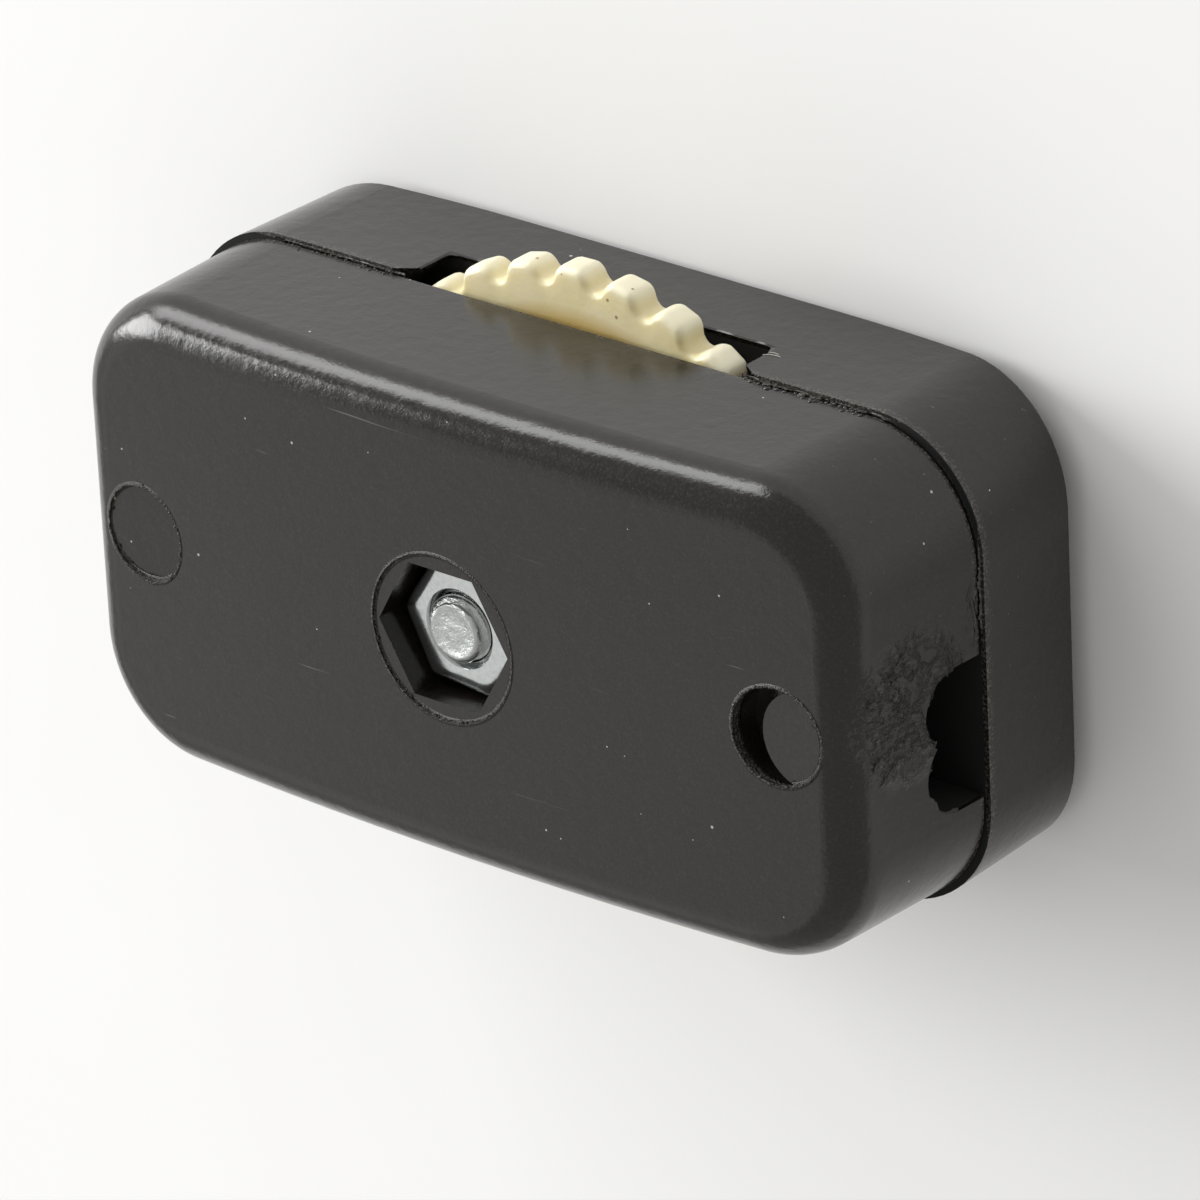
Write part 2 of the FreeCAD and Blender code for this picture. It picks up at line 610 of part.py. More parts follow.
circle(hub, "bore", None, None, "axle_radius + running_gap")
pocket(wheel, "wheel_bore_cut", hub, "wheel_thickness", up=True)

# Contact plate: a flat ring with arms, let into the back of the wheel.
plate = new_body("contact_plate")
plate.setExpression("Placement.Base.z", sized(WHEEL_BACK))
plate.setExpression("Placement.Rotation.Angle", sized("wheel_rest_angle"))
ring = new_sketch(plate, "plate_ring")
circle(ring, "outer", None, None, "plate_ring_radius")
pad(plate, "ring", ring, "plate_thickness")
arm = new_sketch(plate, "plate_arm")
rectangle(arm, "arm", "-plate_arm_width / 2", "plate_arm_width / 2", "plate_bore + running_gap", "plate_reach")
limb = pad(plate, "arm", arm, "plate_thickness")
repeated(plate, "arms", limb, "plate_arms")
middle = new_sketch(plate, "plate_bore_circle")
circle(middle, "bore", None, None, "plate_bore")
pocket(plate, "plate_bore_cut", middle, "plate_thickness", up=True)


def terminal(name, turn):
    """Bent brass strip: a spring finger under the wheel, a foot, and an upright leg with a piercing point."""
    body = new_body(name)
    body.Placement = FreeCAD.Placement(FreeCAD.Vector(), FreeCAD.Rotation(FreeCAD.Vector(0, 0, 1), turn))
    strip = new_sketch(body, name + "_strip", "XZ_Plane")
    foot = SEAT_FLOOR
    foot_top = "(%s + strip_thickness)" % SEAT_FLOOR
    finger_top = "(%s - finger_gap)" % WHEEL_BACK
    finger_low = "(%s - finger_gap - strip_thickness)" % WHEEL_BACK
    leg_in = "(%s - strip_thickness)" % LEG_X
    finger_root = "(%s - foot_length)" % LEG_X
    finger_bend = "(%s + finger_flat)" % FINGER_END
    prong_top = "(rear_depth + prong_reach)"
    polygon(strip, "strip", [
        (LEG_X, foot), (LEG_X, prong_top), (leg_in, prong_top), (leg_in, foot_top),
        (finger_root, foot_top), (finger_bend, finger_top), (FINGER_END, finger_top),
        (FINGER_END, finger_low), (finger_bend, finger_low), (finger_root, foot),
    ])
    bent = body.newObject("PartDesign::Pad", name + "_bent")
    bent.Profile = strip
    bent.SideType = "Symmetric"
    bent.setExpression("Length", sized("strip_width"))
    strip.Visibility = False
    doc.recompute()

    def prong_corner(edge):
        return level_at(prong_top)(edge) and abs(edge.tangentAt(edge.FirstParameter).x) > 0.9

    dress(body, "PartDesign::Chamfer", name + "_point", bent, "Size", "prong_cut", prong_corner)
    return body


left_terminal = terminal("left_terminal", 180)
right_terminal = terminal("right_terminal", 0)

# Machine screw: slotted pan head at the back, chamfered end standing just proud of the nut.
screw = new_body("machine_screw")
half = new_sketch(screw, "screw_section", "XZ_Plane")
UNDER_HEAD = "head_seat"
SCREW_END = "(%s + screw_proud)" % NUT_FACE
polygon(half, "section", [
    (None, "head_seat - head_height"), ("head_radius - head_round", "head_seat - head_height"),
    ("head_radius", "head_seat - head_height + head_round"), ("head_radius", UNDER_HEAD),
    ("screw_radius", UNDER_HEAD), ("screw_radius", SCREW_END + " - screw_point"),
    ("screw_radius - screw_point", SCREW_END), (None, SCREW_END),
])
turned(screw, "PartDesign::Revolution", "screw_turned", half)
slot = new_sketch(screw, "driver_slot", height="head_seat - head_height")
rectangle(slot, "slot", "-head_radius - head_gap", "head_radius + head_gap",
          "-driver_slot_width / 2", "driver_slot_width / 2")
pocket(screw, "driver_slot_cut", slot, "driver_slot_depth", up=True)

# Hexagon nut: corners turned off at its outer face, countersunk mouth.
nut = new_body("hex_nut")
nut.setExpression("Placement.Base.z", sized(NUT_FACE + " - nut_height"))
nut.setExpression("Placement.Rotation.Angle", sized("nut_rest_angle"))
prism = new_sketch(nut, "nut_hexagon")
hexagon(prism, "nut", "nut_flats")
pad(nut, "nut_prism", prism, "nut_height")
hole = new_sketch(nut, "nut_hole")
circle(hole, "hole", None, None, "screw_radius + thread_gap")
drilled = pocket(nut, "nut_hole_cut", hole, "nut_height", up=True)
top_ring = level_at("nut_height")
dress(nut, "PartDesign::Chamfer", "nut_mouth", drilled, "Size", "nut_mouth",
              lambda edge: top_ring(edge) and edge.Curve.TypeId == "Part::GeomCircle")
bevel = new_sketch(nut, "nut_bevel", "XZ_Plane")
CORNER = "(nut_flats / sqrt(3))"
polygon(bevel, "bevel", [
    ("nut_flats / 2 + nut_land", "nut_height"), (CORNER + " + nut_corner_cut", "nut_height"),
    (CORNER + " + nut_corner_cut", "nut_height - nut_corner_cut"), (CORNER, "nut_height - nut_corner_cut"),
])
turned(nut, "PartDesign::Groove", "nut_bevel_cut", bevel)

doc.recompute()
for item in doc.Objects:
    if "Invalid" in item.State or "Error" in item.State:
        raise RuntimeError("%s did not build: %s" % (item.Name, item.State))
for body in (front, rear, wheel, plate, left_terminal, right_terminal, screw, nut):
    if body.Shape.isNull() or not body.Shape.isValid() or len(body.Shape.Solids) != 1:
        raise RuntimeError("%s is not one sound solid" % body.Label)
    body.Shape.exportStep("parts/%s.step" % body.Label)
    box = body.Shape.BoundBox
    print("%s  volume %.1f  x %.2f to %.2f  y %.2f to %.2f  z %.2f to %.2f" % (
        body.Label, body.Shape.Volume, box.XMin, box.XMax, box.YMin, box.YMax, box.ZMin, box.ZMax))
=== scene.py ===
# %% [markdown]
# # An inline cord switch, dressed in Blender
# The switch is a small box of dark moulded plastic that sits in a lamp cord. A cream wheel with
# teeth sticks out of a slot in its side, and one screw with a sunk nut holds the two halves
# together. The solids come from the imported model, and this script gives them their surfaces,
# their wear, a few fine pieces, a floor, lamps and a camera. The first cell loads the solids.

# %% Load the imported model
import math
import random

import bmesh
import bpy
from mathutils import Matrix, Vector


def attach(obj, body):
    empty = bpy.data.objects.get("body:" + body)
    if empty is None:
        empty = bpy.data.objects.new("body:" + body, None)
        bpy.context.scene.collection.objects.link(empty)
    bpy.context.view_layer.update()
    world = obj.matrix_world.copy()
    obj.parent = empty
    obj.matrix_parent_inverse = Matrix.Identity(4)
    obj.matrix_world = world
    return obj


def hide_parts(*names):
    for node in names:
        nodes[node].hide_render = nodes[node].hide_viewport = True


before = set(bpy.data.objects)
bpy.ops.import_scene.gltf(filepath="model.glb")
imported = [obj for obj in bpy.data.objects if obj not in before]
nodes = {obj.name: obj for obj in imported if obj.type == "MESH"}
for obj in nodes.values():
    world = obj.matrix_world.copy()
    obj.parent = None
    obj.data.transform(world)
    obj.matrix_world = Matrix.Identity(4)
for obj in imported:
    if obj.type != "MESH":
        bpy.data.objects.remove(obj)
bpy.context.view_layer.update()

MM = 0.001
print("loaded", sorted(nodes))

# %% [markdown]
# Every material below needs a few small helpers. Colours are written as the hex values that one
# reads off a screen, and Blender calculates in linear light, so one function converts them.
# Another adds a node, gives it its settings and feeds its inputs, by name or by number. In a Map
# Range node, input 0 is the value, 1 and 2 are the range it comes from, and 3 and 4 the range it
# goes to. In a Mix node, 0 is the share, 2 and 3 are two numbers, and 6 and 7 are two colours,
# whose mixture leaves by output 2.

# %% Helpers for colours and nodes
def linear(code):
    """Turn an sRGB hex value such as #efe8cf into linear red, green, blue and alpha."""
    parts = [int(code[i:i + 2], 16) / 255 for i in (1, 3, 5)]
    return [p / 12.92 if p <= 0.04045 else ((p + 0.055) / 1.055) ** 2.4 for p in parts] + [1.0]


def add(tree, kind, inputs=None, **settings):
    """Add a node, set it, and give each named or numbered input a value or a link."""
    node = tree.nodes.new(kind)
    for name, value in settings.items():
        setattr(node, name, value)
    for socket, value in (inputs or {}).items():
        if isinstance(value, bpy.types.NodeSocket):
            tree.links.new(value, node.inputs[socket])
        else:
            node.inputs[socket].default_value = value
    return node


def new_material(name):
    """Make an empty material and return it with its node tree and its output node."""
    material = bpy.data.materials.new(name)
    material.use_nodes = True
    material.node_tree.nodes.clear()
    tree = material.node_tree
    return material, tree, add(tree, "ShaderNodeOutputMaterial")


def millimetres(tree):
    """Object coordinates in millimetres, so that a scale of 1 / 0.5 means a pattern of 0.5 mm."""
    place = add(tree, "ShaderNodeTexCoord")
    return add(tree, "ShaderNodeVectorMath", {0: place.outputs["Object"], "Scale": 1 / MM},
               operation="SCALE").outputs[0]


print("charcoal is", [round(c, 4) for c in linear("#2a2725")])

# %% [markdown]
# The picture was taken with a long lens from the upper right, so the edges hardly converge. The
# switch can't stand on its narrow side, because the wheel sticks out there, so it lies on its
# back and the camera rolls round to see it as the photograph does. A camera could be aimed with a
# constraint, but that gives no roll, so its right, up and forward directions are written down.

# %% Camera
RIGHT = Vector((0.76798, -0.04487, -0.63890))
UP = Vector((-0.24300, 0.90255, -0.35547))
FORWARD = Vector((-0.59259, -0.42825, -0.68224))
CAMERA_PLACE = Vector((229.218, 163.623, 269.923))
FOCAL_LENGTH, SENSOR_WIDTH = 298.05, 36.0
lens = bpy.data.cameras.new("long_lens")
lens.lens = FOCAL_LENGTH
lens.sensor_width = SENSOR_WIDTH
lens.clip_start = 0.01
lens.clip_end = 10.0
camera = bpy.data.objects.new("camera", lens)
bpy.context.scene.collection.objects.link(camera)
camera.matrix_world = (Matrix.Translation(CAMERA_PLACE * MM)
                       @ Matrix((RIGHT, UP, -FORWARD)).transposed().to_4x4())
bpy.context.scene.camera = camera
print("camera stands", round(camera.location.length, 3), "m from the switch")

# %% [markdown]
# A product picture wants a pale floor without a horizon. The floor is a large sheet of white
# card, matt and a touch uneven, as pressed paper is. It is lit to just under white, so the colour
# itself makes the background and the shadow of the switch stays on it. Dark gloss plastic mirrors
# this card, which is why its shadow matters so much.

# %% Floor
FLOOR_WIDTH = 6.0
CARD_CLOUD = 12.5
bpy.ops.mesh.primitive_plane_add(size=FLOOR_WIDTH)
floor = bpy.context.object
floor.name = "white_card_floor"
card, tree, out = new_material("white_card_matt")
mm = millimetres(tree)
# Pressed paper spreads light evenly, so the eye sees no gloss, only a faint cloudiness.
fibre = add(tree, "ShaderNodeTexNoise", {"Vector": mm, "Scale": 1 / CARD_CLOUD, "Detail": 3.0})
colour = add(tree, "ShaderNodeMix", {
    0: fibre.outputs[0], 6: linear("#fbfbfa"), 7: linear("#fefefd")}, data_type="RGBA")
lit = add(tree, "ShaderNodeBsdfDiffuse", {"Color": colour.outputs[2]})
tree.links.new(lit.outputs[0], out.inputs["Surface"])
floor.data.materials.append(card)
print("floor is", floor.dimensions.x, "m wide")

# %% [markdown]
# The light is a pale room with three soft lamps. Dark gloss plastic shows little colour of its
# own, so each face is lit by what it mirrors. The big front card stands where the front face
# mirrors it, and gives that face its even grey. The key box stands low beyond the left end, so
# the floor by the right end lies in shadow, and that end, which mirrors the floor, turns dark.
# The low strip draws the bright line along the upper front edge, because a rounded edge mirrors a
# lamp as a line. Area lamps were chosen because their size sets how wide that line is.

# %% Room light and soft boxes
SWITCH_MIDDLE = Vector((0, 0, 0.008))
world = bpy.data.worlds.new("pale_room")
world.use_nodes = True
world.node_tree.nodes.clear()
sky = add(world.node_tree, "ShaderNodeBackground", {"Color": linear("#fdfcfa"), "Strength": 0.50})
add(world.node_tree, "ShaderNodeOutputWorld", {"Surface": sky.outputs[0]})
bpy.context.scene.world = world


def soft_box(name, toward, distance, width, height, radiance):
    """Hang a lamp in one direction from the switch, aimed at it, with a given brightness."""
    lamp = bpy.data.lights.new(name, "AREA")
    lamp.shape = "RECTANGLE"
    lamp.size, lamp.size_y = width, height
    lamp.energy = radiance * math.pi * width * height
    holder = bpy.data.objects.new(name, lamp)
    bpy.context.scene.collection.objects.link(holder)
    way = Vector(toward).normalized()
    holder.location = way * distance + SWITCH_MIDDLE
    holder.rotation_euler = (-way).to_track_quat("-Z", "Y").to_euler()
    return holder


lamps = [
    soft_box("front_card", (-0.62, -0.44, 0.65), 0.90, width=0.80, height=0.70, radiance=0.38),
    soft_box("key_box", (-0.88, 0.22, 0.42), 0.90, width=0.46, height=0.46, radiance=10.7),
    soft_box("edge_strip", (-0.58, 0.80, 0.19), 0.60, width=0.44, height=0.22, radiance=5.9),
]
bpy.context.scene.view_settings.view_transform = "Standard"
print("lamps:", [lamp.name for lamp in lamps])

# %% [markdown]
# The housing is phenolic, a hard thermoset plastic pressed in a polished steel mould. It comes
# out nearly black brown with a good gloss. A close look shows what makes it real: a very faint
# ripple from the mould, hairline scratches, white dust, and a duller, rougher skin where flash
# was trimmed. Pictures of wear could be wrapped round the part, but masks worked out from the
# place in millimetres need no unwrapping, so the next cells make such masks one by one.

# %% Housing plastic: ripple, dust and hairlines
RIPPLE_LENGTH, CLOUD_LENGTH = 0.77, 6.25
GRAIN_LENGTH = 0.111
phenolic, tree, out = new_material("moulded_phenolic_polished")
mm = millimetres(tree)
ripple = add(tree, "ShaderNodeTexNoise", {
    "Vector": mm, "Scale": 1 / RIPPLE_LENGTH, "Detail": 5.0, "Roughness": 0.6})
# The real grain is a few hundredths of a millimetre, too fine to show, so it is drawn coarser.
grain = add(tree, "ShaderNodeTexNoise", {
    "Vector": mm, "Scale": 1 / GRAIN_LENGTH, "Detail": 3.0, "Roughness": 0.6})
cloud = add(tree, "ShaderNodeTexNoise", {"Vector": mm, "Scale": 1 / CLOUD_LENGTH, "Detail": 3.0})

# Dust: a speck in some of the cells of a lattice, with a radius of up to 0.085 of a cell. Real
# dust would be finer than a pixel here, so it is drawn as coarse as it needs to show.
DUST_CELL, DUST_SHARE = 0.8, 0.085
lattice = add(tree, "ShaderNodeTexVoronoi", {"Vector": mm, "Scale": 1 / DUST_CELL})
chance = add(tree, "ShaderNodeSeparateColor", {0: lattice.outputs["Color"]})
size = add(tree, "ShaderNodeMapRange", {
    0: chance.outputs[0], 1: 0.72, 2: 1.0, 3: 0.0, 4: DUST_SHARE})
speck = add(tree, "ShaderNodeMath", {0: lattice.outputs["Distance"], 1: size.outputs[0]},
            operation="LESS_THAN")

# Hairlines: noise drawn out along one slanted direction, kept only at its highest crests.
HAIR_LENGTH, HAIR_WIDTH = 11.1, 0.25
slant = add(tree, "ShaderNodeMapping", {
    "Vector": mm, "Rotation": (0.4, 0.7, 0.5),
    "Scale": (1 / HAIR_LENGTH, 1 / HAIR_WIDTH, 1 / HAIR_WIDTH)})
hair = add(tree, "ShaderNodeTexNoise", {"Vector": slant.outputs[0], "Scale": 1.0, "Detail": 2.0})
scratch = add(tree, "ShaderNodeMapRange", {0: hair.outputs[0], 1: 0.74, 2: 0.82, 3: 0.0, 4: 0.3})

# A film of dust that clings to the grain, too thin to see but as a slight unevenness.
film = add(tree, "ShaderNodeMapRange", {0: grain.outputs[0], 1: 0.48, 2: 0.75, 3: 0.0, 4: 0.035})
print("ripple, dust and hairlines:", len(tree.nodes), "nodes")

# %% [markdown]
# Flash is the thin plastic that squeezes out of a mould and is trimmed off afterwards. It leaves
# rough rings round the nut and the two marks, a whittled patch beside the cord notch and a torn
# line along the seam. These could be painted by hand. Worked out instead, a ring is a distance
# from an axis, a patch is a distance from a point, and the seam is a distance from a height.

# %% Housing plastic: trimmed rings
MARK_X, NUT_RING, MARK_RING = 15.9, 3.47, 2.03
FACE_FOOT, FACE_FULL = 14.3, 14.5
flat = add(tree, "ShaderNodeVectorMath", {0: mm, 1: (1.0, 1.0, 0.0)}, operation="MULTIPLY")
ring = None
for centre_x, radius in ((0, NUT_RING), (-MARK_X, MARK_RING), (MARK_X, MARK_RING)):
    away = add(tree, "ShaderNodeVectorMath", {0: flat.outputs[0], 1: (centre_x, 0, 0)},
               operation="DISTANCE")
    off = add(tree, "ShaderNodeMath", {0: away.outputs["Value"], 1: radius}, operation="SUBTRACT")
    off = add(tree, "ShaderNodeMath", {0: off.outputs[0]}, operation="ABSOLUTE")
    one = add(tree, "ShaderNodeMapRange", {0: off.outputs[0], 1: 0.04, 2: 0.14, 3: 1.0, 4: 0.0})
    ring = one if ring is None else add(
        tree, "ShaderNodeMath", {0: ring.outputs[0], 1: one.outputs[0]}, operation="MAXIMUM")
# The rings lie on the front face only, so they fade out below it.
place = add(tree, "ShaderNodeSeparateXYZ", {0: mm})
on_face = add(tree, "ShaderNodeMapRange", {
    0: place.outputs[2], 1: FACE_FOOT, 2: FACE_FULL, 3: 0.0, 4: 1.0})
ring = add(tree, "ShaderNodeMath", {0: ring.outputs[0], 1: on_face.outputs[0]},
           operation="MULTIPLY")
print("with the trimmed rings:", len(tree.nodes), "nodes")

# %% [markdown]
# The whittled patch is where a knife opened the cord notch. Its gouges run across the end, longer
# than they are wide, so the noise behind them is drawn out, and a second noise breaks the patch
# up so that it has no clean outline. The seam is rough wherever the grain is high, and its band
# is also a painted highlight of the rear half's rounded lip.

# %% Housing plastic: whittled patch and seam
GOUGE_LENGTH, PATCH_MIDDLE = 0.833, (19.3, 0.8, 11.0)
PATCH_FULL, PATCH_END = 1.2, 3.6
SEAM = 6.9
gouge = add(tree, "ShaderNodeMapping", {
    "Vector": mm, "Rotation": (0.2, 0, 0), "Scale": (1.0, 1.7, 0.6)})
chips = add(tree, "ShaderNodeTexNoise", {
    "Vector": gouge.outputs[0], "Scale": 1 / GOUGE_LENGTH, "Detail": 2.0, "Distortion": 0.8})
notch = add(tree, "ShaderNodeVectorMath", {0: mm, 1: PATCH_MIDDLE}, operation="DISTANCE")
scrape = add(tree, "ShaderNodeMapRange", {
    0: notch.outputs["Value"], 1: PATCH_FULL, 2: PATCH_END, 3: 1.0, 4: 0.0},
    interpolation_type="SMOOTHSTEP")
broken = add(tree, "ShaderNodeMapRange", {
    0: ripple.outputs[0], 1: 0.42, 2: 0.56, 3: 0.0, 4: 1.0})
scrape = add(tree, "ShaderNodeMath", {0: scrape.outputs[0], 1: broken.outputs[0]},
             operation="MULTIPLY")
# The seam band: partly torn flash, partly a painted highlight of the rear half's rounded lip.
seam = add(tree, "ShaderNodeMath", {0: place.outputs[2], 1: SEAM}, operation="SUBTRACT")
seam = add(tree, "ShaderNodeMath", {0: seam.outputs[0]}, operation="ABSOLUTE")
seam = add(tree, "ShaderNodeMapRange", {0: seam.outputs[0], 1: 0.1, 2: 0.5, 3: 1.0, 4: 0.0})
seam = add(tree, "ShaderNodeMath", {0: seam.outputs[0], 1: grain.outputs[0]},
           operation="MULTIPLY")
edge = add(tree, "ShaderNodeMath", {0: ring.outputs[0], 1: seam.outputs[0]}, operation="MAXIMUM")
rough_and_lip_highlight = add(tree, "ShaderNodeMath", {0: edge.outputs[0], 1: scrape.outputs[0]},
            operation="MAXIMUM")
print("with the patch and the seam:", len(tree.nodes), "nodes")

# %% [markdown]
# The slot for the wheel, the passage for the cord and the groove at the seam were never polished,
# so they are matt, and they get painted shade: their colour is made near black, because hardly
# any light comes back out of them. A second material would need the faces picked one by one.
# Instead three boxes mark these inner surfaces, each with its middle and its half size.

# %% Housing plastic: inner surfaces for painted shade
SLOT_INSIDE = ((0, 0, 5.50), (13.2, 9.95, 1.36))
CORD_INSIDE = ((0, -1.6, 8.60), (19.38, 3.1, 1.74))
GROOVE_INSIDE = ((0, 0, 6.96), (19.57, 9.98, 0.09))
painted_shade_inside = None
for middle, half in (SLOT_INSIDE, CORD_INSIDE, GROOVE_INSIDE):
    step = add(tree, "ShaderNodeVectorMath", {0: mm, 1: middle}, operation="SUBTRACT")
    step = add(tree, "ShaderNodeVectorMath", {0: step.outputs[0]}, operation="ABSOLUTE")
    step = add(tree, "ShaderNodeVectorMath", {0: step.outputs[0], 1: half}, operation="SUBTRACT")
    beyond = add(tree, "ShaderNodeSeparateXYZ", {0: step.outputs[0]})
    most = add(tree, "ShaderNodeMath", {0: beyond.outputs[0], 1: beyond.outputs[1]},
               operation="MAXIMUM")
    most = add(tree, "ShaderNodeMath", {0: most.outputs[0], 1: beyond.outputs[2]},
               operation="MAXIMUM")
    one = add(tree, "ShaderNodeMath", {0: most.outputs[0], 1: 0.0}, operation="LESS_THAN")
    painted_shade_inside = one if painted_shade_inside is None else add(
        tree, "ShaderNodeMath", {0: painted_shade_inside.outputs[0], 1: one.outputs[0]}, operation="MAXIMUM")
print("with the inner surfaces:", len(tree.nodes), "nodes")

# %% [markdown]
# Now all the masks meet in the colour. The plastic is a little paler where it was cut, and where
# it was torn it turned white in fine flecks. Along the seam this paler colour and these flecks are
# also a painted highlight of the rear half's rounded lip. Dust and hairlines are pale as well, so
# the strongest of these marks wins at each place. The inner surfaces are painted near black, as
# painted shade.

# %% Housing plastic: colour
colour = add(tree, "ShaderNodeMix", {
    0: cloud.outputs[0], 6: linear("#151210"), 7: linear("#1c1816")}, data_type="RGBA")
colour = add(tree, "ShaderNodeMix", {
    0: rough_and_lip_highlight.outputs[0], 6: colour.outputs[2], 7: linear("#2b2622")}, data_type="RGBA")
pale = add(tree, "ShaderNodeMath", {0: scratch.outputs[0], 1: speck.outputs[0]},
           operation="MAXIMUM")
pale = add(tree, "ShaderNodeMath", {0: pale.outputs[0], 1: film.outputs[0]}, operation="MAXIMUM")
torn_bits = add(tree, "ShaderNodeMapRange", {
    0: grain.outputs[0], 1: 0.50, 2: 0.62, 3: 0.0, 4: 0.30})
# Painted highlight in part: along the seam the white flecks also stand for the lit lip.
white_flecks_and_lip_highlight = add(tree, "ShaderNodeMath", {0: torn_bits.outputs[0], 1: edge.outputs[0]},
               operation="MULTIPLY")
pale = add(tree, "ShaderNodeMath", {0: pale.outputs[0], 1: white_flecks_and_lip_highlight.outputs[0]},
           operation="MAXIMUM")
colour = add(tree, "ShaderNodeMix", {
    0: pale.outputs[0], 6: colour.outputs[2], 7: linear("#b5aea4")}, data_type="RGBA")
# Painted shade: inside the three boxes the colour is made near black.
colour = add(tree, "ShaderNodeMix", {
    0: painted_shade_inside.outputs[0], 6: colour.outputs[2], 7: linear("#080706")}, data_type="RGBA")
print("with the colour:", len(tree.nodes), "nodes")

# %% [markdown]
# Phenolic has an IOR of about 1.6, and the value below was matched to the grey of the faces. The
# polished mould gives the eye clear but slightly wavy reflections. Cut places are duller, and
# inner ones matt. Two bumps are chained, a shallow one for the wavy skin and a deep one for the
# gouges, because one strength can't suit both.

# %% Housing plastic: gloss and relief
PHENOLIC_IOR = 1.53
WAVE_DEPTH, GOUGE_DEPTH = 0.05, 0.8
gloss = add(tree, "ShaderNodeMapRange", {0: grain.outputs[0], 1: 0.3, 2: 0.7, 3: 0.15, 4: 0.22})
gloss = add(tree, "ShaderNodeMix", {0: rough_and_lip_highlight.outputs[0], 2: gloss.outputs[0], 3: 0.42})
gloss = add(tree, "ShaderNodeMix", {0: painted_shade_inside.outputs[0], 2: gloss.outputs[0], 3: 0.9})
fleck = add(tree, "ShaderNodeMath", {0: grain.outputs[0], 1: ring.outputs[0]},
            operation="MULTIPLY")
fleck = add(tree, "ShaderNodeMath", {0: fleck.outputs[0], 1: 0.4}, operation="MULTIPLY")
relief = add(tree, "ShaderNodeMath", {
    0: chips.outputs[0], 1: scrape.outputs[0], 2: fleck.outputs[0]}, operation="MULTIPLY_ADD")
peel = add(tree, "ShaderNodeMix", {0: 0.15, 2: ripple.outputs[0], 3: grain.outputs[0]})
wave = add(tree, "ShaderNodeBump", {
    "Height": peel.outputs[0], "Strength": 0.6, "Distance": WAVE_DEPTH * MM})
torn = add(tree, "ShaderNodeBump", {
    "Height": relief.outputs[0], "Strength": 1.0, "Distance": GOUGE_DEPTH * MM,
    "Normal": wave.outputs[0]})
skin = add(tree, "ShaderNodeBsdfPrincipled", {
    "Base Color": colour.outputs[2], "Roughness": gloss.outputs[0], "IOR": PHENOLIC_IOR,
    "Normal": torn.outputs[0]})
tree.links.new(skin.outputs[0], out.inputs["Surface"])
for name in ("front_housing", "rear_housing"):
    nodes[name].data.materials.clear()
    nodes[name].data.materials.append(phenolic)
print("housing plastic uses", len(tree.nodes), "nodes")

# %% [markdown]
# The wheel is moulded nylon in a cream colour. Nylon lets some light in, so it gets a little
# scattering under the surface, which gives the eye soft, waxy teeth, and its gloss is duller than
# the housing's. Years of thumbs leave brown specks. The crests of the teeth are painted paler, a
# painted highlight for the light they let through and mirror, and inside 10.7 mm from the axle the
# cream is mixed towards yellow-brown. Both follow the distance from the axle, so they turn with
# the wheel.

# %% Wheel plastic: colour
NYLON_CLOUD, NYLON_GRAIN, STAIN_CELL = 2.0, 0.2, 0.6
nylon, tree, out = new_material("moulded_nylon_cream")
mm = millimetres(tree)
cloud = add(tree, "ShaderNodeTexNoise", {"Vector": mm, "Scale": 1 / NYLON_CLOUD, "Detail": 4.0})
grain = add(tree, "ShaderNodeTexNoise", {"Vector": mm, "Scale": 1 / NYLON_GRAIN, "Detail": 3.0})
colour = add(tree, "ShaderNodeMix", {
    0: cloud.outputs[0], 6: linear("#dccf98"), 7: linear("#e6dcb9")}, data_type="RGBA")
flat = add(tree, "ShaderNodeVectorMath", {0: mm, 1: (1.0, 1.0, 0.0)}, operation="MULTIPLY")
from_axle = add(tree, "ShaderNodeVectorMath", {0: flat.outputs[0]}, operation="LENGTH")
# Inside 10.7 mm from the axle the cream is mixed towards yellow-brown.
deep = add(tree, "ShaderNodeMapRange", {
    0: from_axle.outputs["Value"], 1: 10.0, 2: 10.7, 3: 0.8, 4: 0.0})
colour = add(tree, "ShaderNodeMix", {
    0: deep.outputs[0], 6: colour.outputs[2], 7: linear("#c0a050")}, data_type="RGBA")
# Painted highlight: the crests of the teeth are painted paler for the light they let through and
# mirror.
crest_painted_highlight = add(tree, "ShaderNodeMapRange", {
    0: from_axle.outputs["Value"], 1: 11.7, 2: 12.15, 3: 0.0, 4: 0.6})
colour = add(tree, "ShaderNodeMix", {
    0: crest_painted_highlight.outputs[0], 6: colour.outputs[2], 7: linear("#f3f0de")}, data_type="RGBA")
lattice = add(tree, "ShaderNodeTexVoronoi", {"Vector": mm, "Scale": 1 / STAIN_CELL})
chance = add(tree, "ShaderNodeSeparateColor", {0: lattice.outputs["Color"]})
size = add(tree, "ShaderNodeMapRange", {0: chance.outputs[1], 1: 0.5, 2: 1.0, 3: 0.0, 4: 0.14})
speck = add(tree, "ShaderNodeMath", {0: lattice.outputs["Distance"], 1: size.outputs[0]},
            operation="LESS_THAN")
stain = add(tree, "ShaderNodeMath", {0: speck.outputs[0], 1: 0.7}, operation="MULTIPLY")
colour = add(tree, "ShaderNodeMix", {
    0: stain.outputs[0], 6: colour.outputs[2], 7: linear("#7a5a36")}, data_type="RGBA")
print("cream nylon:", len(tree.nodes), "nodes")

# %% [markdown]
# Nylon's IOR is 1.53. It is seldom polished, so its roughness lies between a third and a half,
# and low lumps from the mould break the highlights up. The scattering reaches under a millimetre
# and lets red light through the furthest, as it does in most cream plastics.

